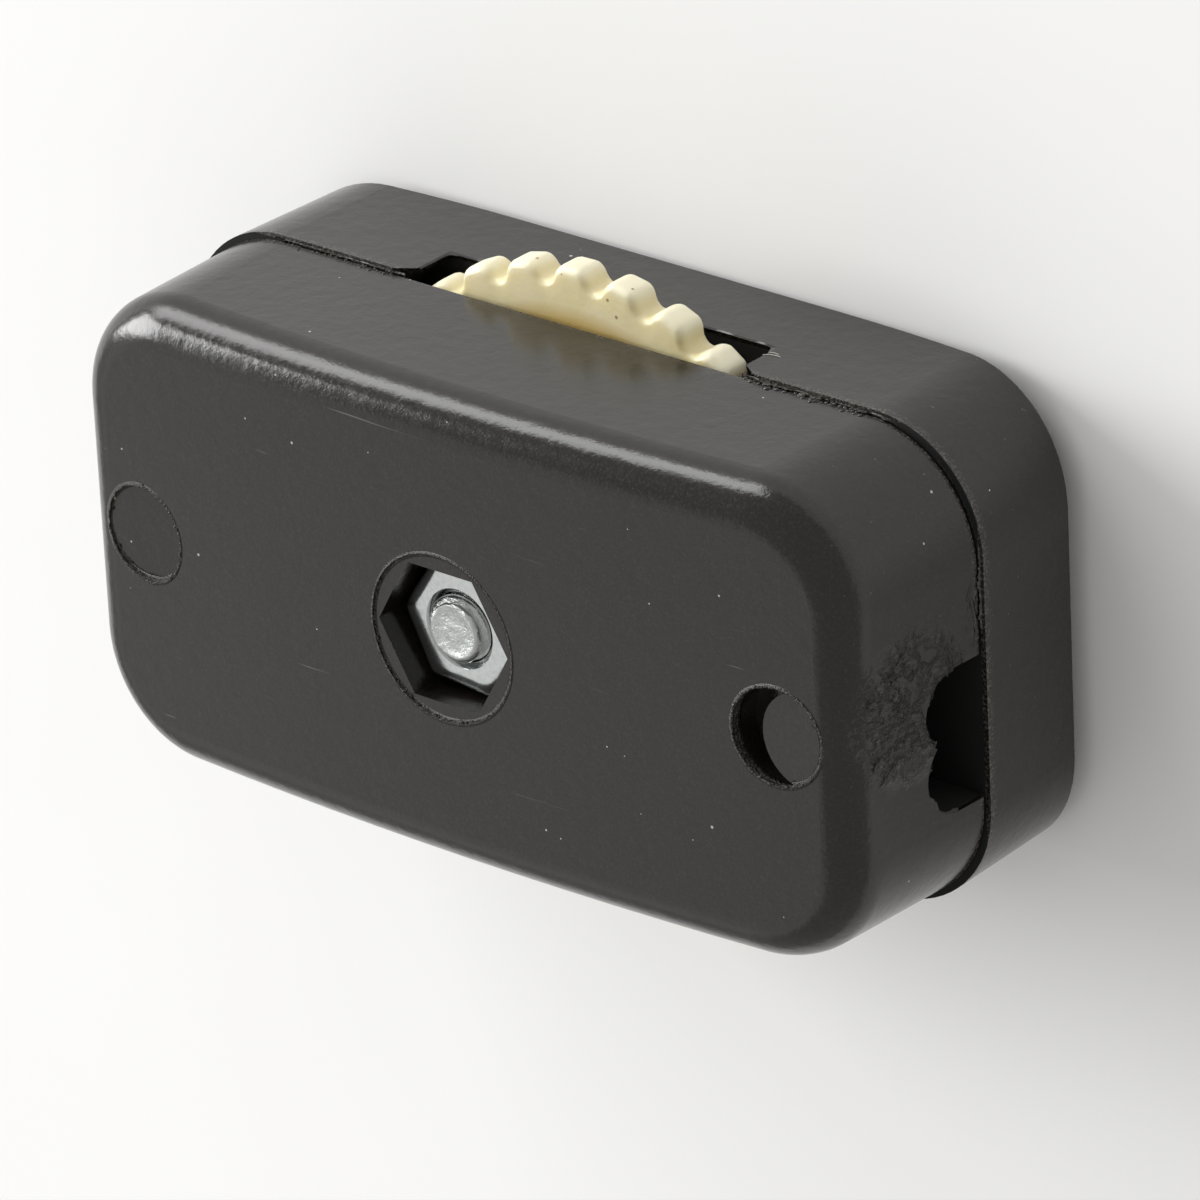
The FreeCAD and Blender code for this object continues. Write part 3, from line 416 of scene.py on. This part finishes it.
# %% Wheel plastic: gloss and scattering
NYLON_IOR, NYLON_LUMPS, SCATTER_REACH = 1.53, 0.10, 0.7
gloss = add(tree, "ShaderNodeMapRange", {0: grain.outputs[0], 1: 0.3, 2: 0.7, 3: 0.30, 4: 0.44})
lumps = add(tree, "ShaderNodeMix", {0: 0.25, 2: cloud.outputs[0], 3: grain.outputs[0]})
wave = add(tree, "ShaderNodeBump", {
    "Height": lumps.outputs[0], "Strength": 0.5, "Distance": NYLON_LUMPS * MM})
skin = add(tree, "ShaderNodeBsdfPrincipled", {
    "Base Color": colour.outputs[2], "Roughness": gloss.outputs[0], "IOR": NYLON_IOR,
    "Normal": wave.outputs[0], "Subsurface Weight": 0.4, "Subsurface Radius": (1.0, 0.8, 0.4),
    "Subsurface Scale": SCATTER_REACH * MM})
tree.links.new(skin.outputs[0], out.inputs["Surface"])
print("wheel plastic uses", len(tree.nodes), "nodes")

# %% [markdown]
# Three pieces below are lofts: rings of points that are joined one after the other. A few helpers
# do that. The first turns a finished mesh into an object with smooth faces that rides on a body
# of the model, the second builds the mesh from its rings, and the third gives the steps of a
# rounded rim. A bevel modifier could round the rims, but rings give the exact profile.

# %% Helpers for new pieces
def as_piece(name, mesh, material, body, sharp=45):
    """Make an object of a mesh, with edges over a given angle sharp, and let it ride on a body."""
    for face in mesh.faces:
        face.smooth = True
    piece = bpy.data.objects.new(name, bpy.data.meshes.new(name))
    mesh.to_mesh(piece.data)
    mesh.free()
    piece.data.set_sharp_from_angle(angle=math.radians(sharp))
    piece.data.materials.append(material)
    bpy.context.scene.collection.objects.link(piece)
    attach(piece, body)
    print(name, "has", len(piece.data.polygons), "faces")
    return piece


def join_rings(mesh, rings):
    """Join closed rings of equal length, given in millimetres, with four-sided faces."""
    grid = [[mesh.verts.new(Vector(point) * MM) for point in ring] for ring in rings]
    for upper, lower in zip(grid, grid[1:]):
        for i in range(len(upper)):
            j = (i + 1) % len(upper)
            mesh.faces.new((upper[i], upper[j], lower[j], lower[i]))
    bmesh.ops.remove_doubles(mesh, verts=mesh.verts, dist=1e-7)
    bmesh.ops.recalc_face_normals(mesh, faces=mesh.faces)


def quarter(inset, drop, steps):
    """Steps of a quarter round, from the flat face to the side, as pairs of inset and drop."""
    turns = [math.pi / 2 * i / steps for i in range(steps + 1)]
    return [(inset * (1 - math.sin(t)), drop * (1 - math.cos(t))) for t in turns]


print("a round of 0.3 mm:", [(round(a, 2), round(b, 2)) for a, b in quarter(0.3, 0.3, 3)])

# %% [markdown]
# The wheel's teeth are waves with a rounded crest, a straight flank and a rounded gullet. One
# gullet is drawn from three arcs, and the flanks are the straight lines between them. A copy for
# each tooth, turned a step further, gives the whole rim. The same profile could be taken from the
# solid, but its points lie too unevenly for a smooth round.

# %% Tooth profile
WHEEL_RADIUS, TOOTH_DEPTH, TEETH = 12.215, 0.68, 30
GULLET_ROUND, TOOTH_ROUND, FLANK = 0.42, 0.75, math.radians(30.0)
REST_TURN = math.radians(-4.8)
gullet_y = WHEEL_RADIUS - TOOTH_DEPTH + GULLET_ROUND
low_x, low_y = GULLET_ROUND * math.cos(FLANK), gullet_y - GULLET_ROUND * math.sin(FLANK)
tip_y = WHEEL_RADIUS - TOOTH_ROUND
high_x = low_x + (tip_y + TOOTH_ROUND * math.sin(FLANK) - low_y) * math.tan(FLANK)
tip_x = high_x + TOOTH_ROUND * math.cos(FLANK)


def arc_points(x, y, radius, first, last, count):
    """Points of an arc between two angles in radians, both ends included."""
    turns = [first + (last - first) * i / (count - 1) for i in range(count)]
    return [Vector((x + radius * math.cos(t), y + radius * math.sin(t))) for t in turns]


one_gullet = (arc_points(tip_x, tip_y, TOOTH_ROUND, math.pi / 2, math.pi - FLANK, 6)
              + arc_points(0, gullet_y, GULLET_ROUND, -FLANK, -math.pi + FLANK, 7)
              + arc_points(-tip_x, tip_y, TOOTH_ROUND, FLANK, math.pi / 2, 6))
profile = []
for k in range(TEETH):
    turn = Matrix.Rotation(REST_TURN + 2 * math.pi * k / TEETH, 2)
    profile += [turn @ (point * min(1.0, WHEEL_RADIUS / point.length)) for point in one_gullet]
inward = []
for i, point in enumerate(profile):
    along = profile[(i + 1) % len(profile)] - profile[i - 1]
    inward.append(Vector((-along.y, along.x)).normalized())
print("the rim has", len(profile), "points")

# %% [markdown]
# The solid wheel has sharp rims, and a moulded one is soft to the thumb. The new wheel follows
# the same tooth profile and steps inwards along the profile's own normals at both faces, which
# gives an even round. It could be made with a bevel modifier as well, but the short arcs in the
# gullets would limit it. The back has the shallow recess in which the contact plate lies.

# %% Soft thumbwheel
WHEEL_LOW, WHEEL_HIGH = 5.15, 6.70
AXLE_BORE, MIDDLE_RING, TOOTH_FOOT = 2.25, 6.5, 10.7
PLATE_RECESS, RECESS_FLOOR = 9.0, 5.55
soft_rim = quarter(0.30, 0.42, 6)


def circle_ring(radius, z):
    """A plain ring with the same number of points as the tooth profile."""
    return [(*(point.normalized() * radius), z) for point in profile]


def tooth_ring(inset, z):
    """The tooth profile at one height, drawn in by an inset."""
    return [(*(point + normal * inset), z) for point, normal in zip(profile, inward)]


rings = [circle_ring(radius, WHEEL_HIGH) for radius in (AXLE_BORE, MIDDLE_RING, TOOTH_FOOT)]
rings += [tooth_ring(inset, WHEEL_HIGH - drop) for inset, drop in soft_rim]
rings += [tooth_ring(inset, WHEEL_LOW + drop) for inset, drop in reversed(soft_rim)]
rings += [circle_ring(TOOTH_FOOT, WHEEL_LOW), circle_ring(PLATE_RECESS, WHEEL_LOW),
          circle_ring(PLATE_RECESS, RECESS_FLOOR), circle_ring(AXLE_BORE, RECESS_FLOOR),
          circle_ring(AXLE_BORE, WHEEL_HIGH)]
mesh = bmesh.new()
join_rings(mesh, rings)
soft_wheel = as_piece("soft_thumbwheel", mesh, nylon, "wheel")
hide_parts("thumbwheel")

# %% [markdown]
# The nut and screw are steel with a bright zinc plate. Zinc is a little blue and never a perfect
# mirror, so the eye sees a pale, soft shine. Faint turning marks run in circles round the screw
# axis. Within the screw's radius the relief is stronger, because its end was sheared off and
# stayed rough, while the nut's face is nearly smooth. One material with a mask does for both.

# %% Zinc plated steel
ZINC_SPOT, TURNING_STEP = 0.25, 0.455
SHEARED_FULL, SHEARED_END, SHEARED_DEPTH = 1.20, 1.45, 0.09
zinc, tree, out = new_material("zinc_plated_steel_pressed")
mm = millimetres(tree)
spots = add(tree, "ShaderNodeTexNoise", {
    "Vector": mm, "Scale": 1 / ZINC_SPOT, "Detail": 5.0, "Roughness": 0.65})
# Real turning marks are closer together, and are drawn as coarse as they need to show.
turning = add(tree, "ShaderNodeTexWave", {
    "Vector": mm, "Scale": 1 / TURNING_STEP, "Distortion": 1.5, "Detail": 2.0},
    wave_type="RINGS", rings_direction="Z")
dull = add(tree, "ShaderNodeMapRange", {0: spots.outputs[0], 1: 0.42, 2: 0.68, 3: 0.0, 4: 1.0})
colour = add(tree, "ShaderNodeMix", {
    0: dull.outputs[0], 6: linear("#cdd0ce"), 7: linear("#bdc2c4")}, data_type="RGBA")
marks = add(tree, "ShaderNodeMix", {0: 0.97, 2: turning.outputs["Fac"], 3: spots.outputs[0]})
flat = add(tree, "ShaderNodeVectorMath", {0: mm, 1: (1.0, 1.0, 0.0)}, operation="MULTIPLY")
from_axis = add(tree, "ShaderNodeVectorMath", {0: flat.outputs[0]}, operation="LENGTH")
sheared = add(tree, "ShaderNodeMapRange", {
    0: from_axis.outputs["Value"], 1: SHEARED_FULL, 2: SHEARED_END, 3: 1.0, 4: 0.05})
colour = add(tree, "ShaderNodeMix", {
    0: sheared.outputs[0], 6: colour.outputs[2], 7: linear("#cccfcd")}, data_type="RGBA")
gloss = add(tree, "ShaderNodeMapRange", {
    0: sheared.outputs[0], 1: 0.0, 2: 1.0, 3: 0.14, 4: 0.33})
marks = add(tree, "ShaderNodeMath", {0: marks.outputs[0], 1: sheared.outputs[0]},
            operation="MULTIPLY")
wave = add(tree, "ShaderNodeBump", {
    "Height": marks.outputs[0], "Strength": 0.8, "Distance": SHEARED_DEPTH * MM})
skin = add(tree, "ShaderNodeBsdfPrincipled", {
    "Base Color": colour.outputs[2], "Metallic": 1.0, "Roughness": gloss.outputs[0],
    "Normal": wave.outputs[0]})
tree.links.new(skin.outputs[0], out.inputs["Surface"])
print("zinc plate uses", len(tree.nodes), "nodes")

# %% [markdown]
# The nut is pressed, so its upper face is crowned and dips towards the rim. The sloping rim
# mirrors the dark walls of the socket, and this gives the nut its dark left side. A cylinder with
# six sides and a bevel would have sharper corners than a worn nut, so the outline is a hexagon
# written as a radius for each direction, and each ring below is drawn in by a step of the round.

# %% Pressed hex nut
NUT_FLATS, NUT_LOW, NUT_HIGH, NUT_TURN = 5.10, 12.20, 14.30, math.radians(-5.0)
NUT_BORE, NUT_MOUTH, MOUTH_LAND, CORNER_WEAR = 1.45, 0.22, 0.1, 1.135
NUT_STEPS = 96
directions = [NUT_TURN + 2 * math.pi * i / NUT_STEPS for i in range(NUT_STEPS)]


def hexagon_ring(inset, z):
    """The nut's outline at one height, drawn in by an inset, with the corners a little worn."""
    ring = []
    for turn in directions:
        from_flat = (turn - NUT_TURN) % (math.pi / 3) - math.pi / 6
        radius = min(NUT_FLATS / 2 / math.cos(from_flat), NUT_FLATS / 2 * CORNER_WEAR) - inset
        ring.append((radius * math.cos(turn), radius * math.sin(turn), z))
    return ring


def round_ring(radius, z):
    """A ring of the same directions with one radius."""
    return [(radius * math.cos(turn), radius * math.sin(turn), z) for turn in directions]


rings = [round_ring(NUT_BORE, NUT_LOW), round_ring(NUT_BORE, NUT_HIGH - NUT_MOUTH),
         round_ring(NUT_BORE + NUT_MOUTH, NUT_HIGH),
         round_ring(NUT_BORE + NUT_MOUTH + MOUTH_LAND, NUT_HIGH)]
rings += [hexagon_ring(inset, NUT_HIGH - drop) for inset, drop in quarter(0.65, 0.24, 8)]
rings += [hexagon_ring(0, NUT_LOW), round_ring(NUT_BORE, NUT_LOW)]
mesh = bmesh.new()
join_rings(mesh, rings)
pressed_nut = as_piece("pressed_hex_nut", mesh, zinc, "housing", sharp=25)
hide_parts("hex_nut")

# %% [markdown]
# The solid screw is a plain cylinder, and its end shows above the nut, so it gets a real thread:
# forty turns to the inch, 0.635 mm a turn. A screw modifier could sweep a groove, but it leaves
# an open end. The head and its slot are taken from the solid, cut off just above the head, and
# the shank is a loft whose radius climbs and falls once in each turn of the helix.

# %% Threaded screw
PITCH, CREST, THREAD_DEPTH = 0.635, 1.42, 0.30
SHANK_START, THREAD_START, SCREW_END, POINT = 2.5, 9.0, 14.70, 0.30
THREAD_STEP, SHANK_SIDES = 0.06, 64
SHEARED_END_RINGS = ((0.98, 0.0), (0.86, 0.05), (0.5, 0.03), (0.0, 0.0))
mesh = bmesh.new()
mesh.from_mesh(nodes["machine_screw"].data)
bmesh.ops.remove_doubles(mesh, verts=mesh.verts, dist=1e-7)
bmesh.ops.bisect_plane(mesh, geom=mesh.verts[:] + mesh.edges[:] + mesh.faces[:],
                       plane_co=(0, 0, SHANK_START * MM), plane_no=(0, 0, 1), clear_outer=True)
around = [2 * math.pi * i / SHANK_SIDES for i in range(SHANK_SIDES)]


def thread_radius(turn, z):
    """Radius of the thread in one direction at one height: V grooves, and a cone at the end."""
    phase = ((z - THREAD_START) / PITCH - turn / (2 * math.pi)) % 1.0
    runs_in = min(1.0, max(0.0, z - THREAD_START))
    groove = THREAD_DEPTH * max(0.0, 1 - abs(2 * phase - 1) * 1.3) * runs_in
    return min(CREST - groove, CREST - max(0.0, z - SCREW_END + POINT))


climb = [THREAD_START + THREAD_STEP * i for i in range(1, 96)]
heights = [SHANK_START, THREAD_START] + [z for z in climb if z < SCREW_END] + [SCREW_END]
rings = [[(thread_radius(t, z) * math.cos(t), thread_radius(t, z) * math.sin(t), z)
          for t in around] for z in heights]
rings += [[(r * math.cos(t), r * math.sin(t), SCREW_END - dip) for t in around]
          for r, dip in SHEARED_END_RINGS]
join_rings(mesh, rings)
threaded_screw = as_piece("threaded_screw", mesh, zinc, "housing", sharp=35)
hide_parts("machine_screw")

# %% [markdown]
# Now the rough places get real edges. Flash along the seam and round the openings is a thin lip
# whose height changes from one step to the next. A displaced strip could do it, but it would have
# no thickness, so the lip is a row of thin closed prisms along a path. Each point of the path has
# the direction in which the lip grows, the direction into the wall behind it, and the most it may
# grow. A seeded random source keeps each run the same.

# %% Helper for torn lips of flash
TIP_LEAN, LIP_ROOT = 0.04, 0.25
chance_of = random.Random(11)
flash = bmesh.new()


def torn_lip(path, wave_length, least=0.0):
    """Add a ragged lip along points, each with its growth, way into the wall and most, in mm."""
    rolls = [chance_of.random() ** 1.6 for _ in path]
    sways = [chance_of.random() for _ in range(len(path) // wave_length + 3)]
    rows = []
    for i, (point, grow, into, most) in enumerate(path):
        k, part = divmod(i / wave_length, 1.0)
        sway = sways[int(k)] * (1 - part) + sways[int(k) + 1] * part
        ragged = (0.55 * rolls[i] + 0.45) * max(0.0, sway - 0.2) / 0.8
        reach = most * (least + (1 - least) * ragged)
        base = Vector(point)
        tip = base + Vector(grow) * reach + Vector(into) * TIP_LEAN
        back = base + Vector(into) * LIP_ROOT
        rows.append([flash.verts.new(p * MM) for p in (base, tip, back)])
    for a, b in zip(rows, rows[1:]):
        for i in (0, 1, 2):
            j = (i + 1) % 3
            flash.faces.new((a[i], a[j], b[j], b[i]))
    flash.faces.new(rows[0])
    flash.faces.new(reversed(rows[-1]))


print("a lip is rooted", LIP_ROOT, "mm deep in the wall")

# %% [markdown]
# The seam is ragged where most flash was trimmed off: along the upper side to the right and left
# of the slot, round the right corner, and down the right end towards the notch. Each stretch is a
# path in small steps along the foot of the front half.

# %% Lips along the seam
STEP, SEAM_WAVE = 0.08, 9
LIP_FOOT = SEAM - 0.02
SEAM_WALL, END_WALL = 10.09, 19.69
CORNER_X, CORNER_Y, CORNER_RADIUS = 14.6, 5.0, 5.09


def side_seam(first_x, most):
    """A stretch of the seam on the upper side, 78 steps long, with the most its lip may grow."""
    return [((first_x + STEP * i, SEAM_WALL, LIP_FOOT), (0, 0.1, 0.99), (0, -1, 0), most)
            for i in range(78)]


corner_seam = []
for turn in (math.pi / 2 * (1 - i / 90) for i in range(91)):
    x, y = math.cos(turn), math.sin(turn)
    foot = (CORNER_X + CORNER_RADIUS * x, CORNER_Y + CORNER_RADIUS * y, LIP_FOOT)
    corner_seam.append((foot, (0, 0, 1), (-x, -y, 0), 0.26))
end_seam = [((END_WALL, CORNER_Y - STEP * i, LIP_FOOT), (0, 0, 1), (-1, 0, 0), 0.3)
            for i in range(45)]
for path in (side_seam(8.4, 0.50), side_seam(-14.6, 0.22), corner_seam, end_seam):
    torn_lip(path, SEAM_WAVE)
print("seam lips have", len(flash.faces), "faces")

# %% [markdown]
# The wheel's slot and the cord notch are openings, so their lips grow inwards and soften the
# sharp corners that the cutter left in the solid. At the corners of the slot the lip is wider,
# which rounds them as on the real switch. The solids themselves stay as they are.

# %% Lips round the slot
SLOT_HALF, SLOT_LOW, SIDE = 8.21, 4.40, 10.2
CORNER_ROUND, SLOT_FLASH, SLOT_WAVE = 0.7, 0.12, 5


def corner_fill(distance):
    """How far a rounded corner and its flash stand out from a wall at a distance from it."""
    short = max(0.0, CORNER_ROUND - distance)
    return SLOT_FLASH + CORNER_ROUND - math.sqrt(CORNER_ROUND ** 2 - short ** 2)


def slot_wall(x, grow, steps):
    """The path up or down one short wall of the slot, given by its steps from the corner."""
    return [((x, SIDE, SLOT_LOW + d), grow, (0, -1, 0), corner_fill(d)) for d in steps]


wall_steps = [STEP * i for i in range(25)]
slot_path = slot_wall(-SLOT_HALF, (1, 0, 0), reversed(wall_steps))
slot_path += [((x, SIDE, SLOT_LOW), (0, 0, 1), (0, -1, 0), corner_fill(SLOT_HALF - abs(x)))
              for x in (-SLOT_HALF + STEP * i for i in range(206))]
slot_path += slot_wall(SLOT_HALF, (-1, 0, 0), wall_steps)
torn_lip(slot_path, SLOT_WAVE, least=0.5)
print("with the slot's lips:", len(flash.faces), "faces")

# %% [markdown]
# The cord notch has two rounds, one for each core of the cord, and each gets a path of its own
# that follows the sloping end face. With that the flash is complete and becomes one piece.

# %% Lips round the cord notch
LOBE, LOBE_Z, NOTCH_Y, HALF_PITCH = 1.7, 8.5, -1.6, 1.3
END_FOOT, END_DRAFT = 19.60, math.radians(2.5)
LOBE_GROWTH, LOBE_WAVE = 0.36, 4


def end_face_x(z):
    """Where the drafted end face of the front half stands at a height."""
    return END_FOOT - (z - SEAM) * math.tan(END_DRAFT)


for middle, first in ((NOTCH_Y + HALF_PITCH, 0.0), (NOTCH_Y - HALF_PITCH, 45.0)):
    lobe = []
    for turn in (math.radians(first + 3.0 * i) for i in range(46)):
        y, z = middle + LOBE * math.cos(turn), LOBE_Z + LOBE * math.sin(turn)
        lobe.append(((end_face_x(z) - 0.02, y, z), (0, -math.cos(turn), -math.sin(turn)),
                     (-1, 0, 0), LOBE_GROWTH))
    torn_lip(lobe, LOBE_WAVE, least=0.15)
bmesh.ops.recalc_face_normals(flash, faces=flash.faces)
as_piece("mould_flash", flash, phenolic, "housing", sharp=60)

# %% [markdown]
# Round the nut and the two marks the trimmed flash left a row of tiny beads. They are flattened
# spheres of about a tenth of a millimetre, set along each ring with chance gaps. A particle
# system could scatter them, but a loop keeps them on the ring. The ring round the nut is a
# shallow step, so its beads lie on the step's floor, and those of the marks lie at the height of
# the bowed face.

# %% Beads on the trimmed rings
FACE_TOP, FACE_BOW = 15.4, 190.0
BEAD_RINGS = ((0.0, 3.50, 130, 0.07), (-MARK_X, 2.04, 80, 0.0), (MARK_X, 2.04, 80, 0.0))
beads = bmesh.new()


def bead(x, y, z, radius, squash, long=1.0, turn=0.0):
    """One lump in mm, flat along the axis out of the wall, and drawn out if it is a shaving."""
    sizes = {axis: 0.6 + 0.8 * chance_of.random() for axis in "xyz"}
    sizes[squash] = 0.4
    sizes["z"] *= long
    turn += chance_of.uniform(-0.5, 0.5) if long > 1.0 else chance_of.uniform(0.0, 6.0)
    shape = Matrix.Rotation(turn, 4, squash.upper()) @ Matrix.Diagonal([*sizes.values(), 1.0])
    bmesh.ops.create_icosphere(beads, subdivisions=1, radius=radius * MM,
                               matrix=Matrix.Translation(Vector((x, y, z)) * MM) @ shape)


for middle, ring_radius, count, sink in BEAD_RINGS:
    for i in range(count):
        turn = 2 * math.pi * (i + 0.7 * chance_of.random()) / count
        spread = ring_radius + 0.12 * (chance_of.random() - 0.5)
        x, y = middle + spread * math.cos(turn), spread * math.sin(turn)
        z = FACE_TOP - sink - FACE_BOW + math.sqrt(FACE_BOW ** 2 - x ** 2)
        if chance_of.random() > 0.25:
            bead(x, y, z, 0.03 + 0.10 * chance_of.random() ** 2, "z")
print("beads on the rings:", len(beads.verts), "points")

# %% [markdown]
# The same lump, drawn out, is a shaving that a knife left beside the cord notch, and larger ones
# with no order are the crumbs along the seam. The shavings lie in two fields on the end face, and
# the crumbs lie on both sides of the seam, the larger ones above it.

# %% Shavings and crumbs
SHAVED_FIELDS = ((-2.2, 3.2, 10.4, 13.0, 34, 0.2), (1.6, 4.2, 7.2, 8.4, 14, 1.4))
CRUMB_STRETCHES = ((8.6, 14.6, 90, 0.14), (-14.4, -8.8, 45, 0.09))
for near_y, far_y, near_z, far_z, count, turn in SHAVED_FIELDS:
    for i in range(count):
        y, z = chance_of.uniform(near_y, far_y), chance_of.uniform(near_z, far_z)
        bead(end_face_x(z) - 0.02, y, z, chance_of.uniform(0.05, 0.18), "x",
             long=chance_of.uniform(2.0, 5.0), turn=turn)
for near_x, far_x, count, most in CRUMB_STRETCHES:
    for i in range(count):
        x, radius = chance_of.uniform(near_x, far_x), 0.03 + most * chance_of.random() ** 2
        bead(x, 10.0, SEAM + chance_of.triangular(0.05, 0.45, 0.05), radius, "y")
        bead(x + 0.2, 10.18, SEAM - chance_of.triangular(0.0, 0.2, 0.0), 0.6 * radius, "y")
as_piece("trim_beads", beads, phenolic, "housing", sharp=80)

# %% [markdown]
# The contact plate and the terminals are stamped from rolled brass. They are deep inside, but a
# glint of them can be seen through the slot and the cord notches. Rolling leaves fine streaks
# along the sheet, and years in air leave a brown tarnish, so the eye sees a dull yellow shine.

# %% Stamped brass
STREAK_LENGTH, STREAK_WIDTH, TARNISH_LENGTH = 2.5, 0.111, 1.43
brass, tree, out = new_material("stamped_brass_tarnished")
mm = millimetres(tree)
rolled = add(tree, "ShaderNodeMapping", {
    "Vector": mm, "Scale": (1 / STREAK_LENGTH, 1 / STREAK_WIDTH, 1 / STREAK_WIDTH)})
streak = add(tree, "ShaderNodeTexNoise", {
    "Vector": rolled.outputs[0], "Scale": 1.0, "Detail": 3.0})
tarnish = add(tree, "ShaderNodeTexNoise", {
    "Vector": mm, "Scale": 1 / TARNISH_LENGTH, "Detail": 4.0})
aged = add(tree, "ShaderNodeMapRange", {0: tarnish.outputs[0], 1: 0.45, 2: 0.7, 3: 0.0, 4: 1.0})
colour = add(tree, "ShaderNodeMix", {
    0: aged.outputs[0], 6: linear("#d8b46a"), 7: linear("#8c6a3a")}, data_type="RGBA")
gloss = add(tree, "ShaderNodeMapRange", {0: streak.outputs[0], 1: 0.3, 2: 0.7, 3: 0.28, 4: 0.45})
skin = add(tree, "ShaderNodeBsdfPrincipled", {
    "Base Color": colour.outputs[2], "Metallic": 1.0, "Roughness": gloss.outputs[0]})
tree.links.new(skin.outputs[0], out.inputs["Surface"])
for name in ("contact_plate", "left_terminal", "right_terminal"):
    nodes[name].data.materials.clear()
    nodes[name].data.materials.append(brass)
print("brass uses", len(tree.nodes), "nodes")

# %% [markdown]
# Two cotton fibres from the air cling to the plastic beside the slot. Cotton is matt and pale, so
# on the dark wall they catch the eye as fine light lines. Hair curves would not be exported as a
# mesh, so each fibre is a short curve with a round section of 0.03 mm, laid on the wall.

# %% Lint
LINT_TUFT, LINT_RADIUS = 0.167, 0.014
LINT_PATHS = (((8.15, 10.20, 5.3), (8.5, 10.24, 5.1), (8.85, 10.21, 5.1)),
              ((8.2, 10.20, 5.0), (8.4, 10.22, 4.9), (8.65, 10.20, 4.95)))
lint, tree, out = new_material("cotton_lint")
mm = millimetres(tree)
tuft = add(tree, "ShaderNodeTexNoise", {"Vector": mm, "Scale": 1 / LINT_TUFT, "Detail": 2.0})
colour = add(tree, "ShaderNodeMix", {
    0: tuft.outputs[0], 6: linear("#b9b2a6"), 7: linear("#e6e2da")}, data_type="RGBA")
skin = add(tree, "ShaderNodeBsdfPrincipled", {"Base Color": colour.outputs[2], "Roughness": 0.9})
tree.links.new(skin.outputs[0], out.inputs["Surface"])
threads = bpy.data.curves.new("lint_fibres", "CURVE")
threads.dimensions = "3D"
threads.bevel_depth = LINT_RADIUS * MM
threads.bevel_resolution = 1
for points in LINT_PATHS:
    spline = threads.splines.new("NURBS")
    spline.points.add(len(points) - 1)
    for knot, point in zip(spline.points, points):
        knot.co = (*(Vector(point) * MM), 1.0)
    spline.order_u = 3
    spline.use_endpoint_u = True
fibres = bpy.data.objects.new("lint_fibres", threads)
bpy.context.scene.collection.objects.link(fibres)
threads.materials.append(lint)
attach(fibres, "housing")
print("lint:", len(threads.splines), "fibres")
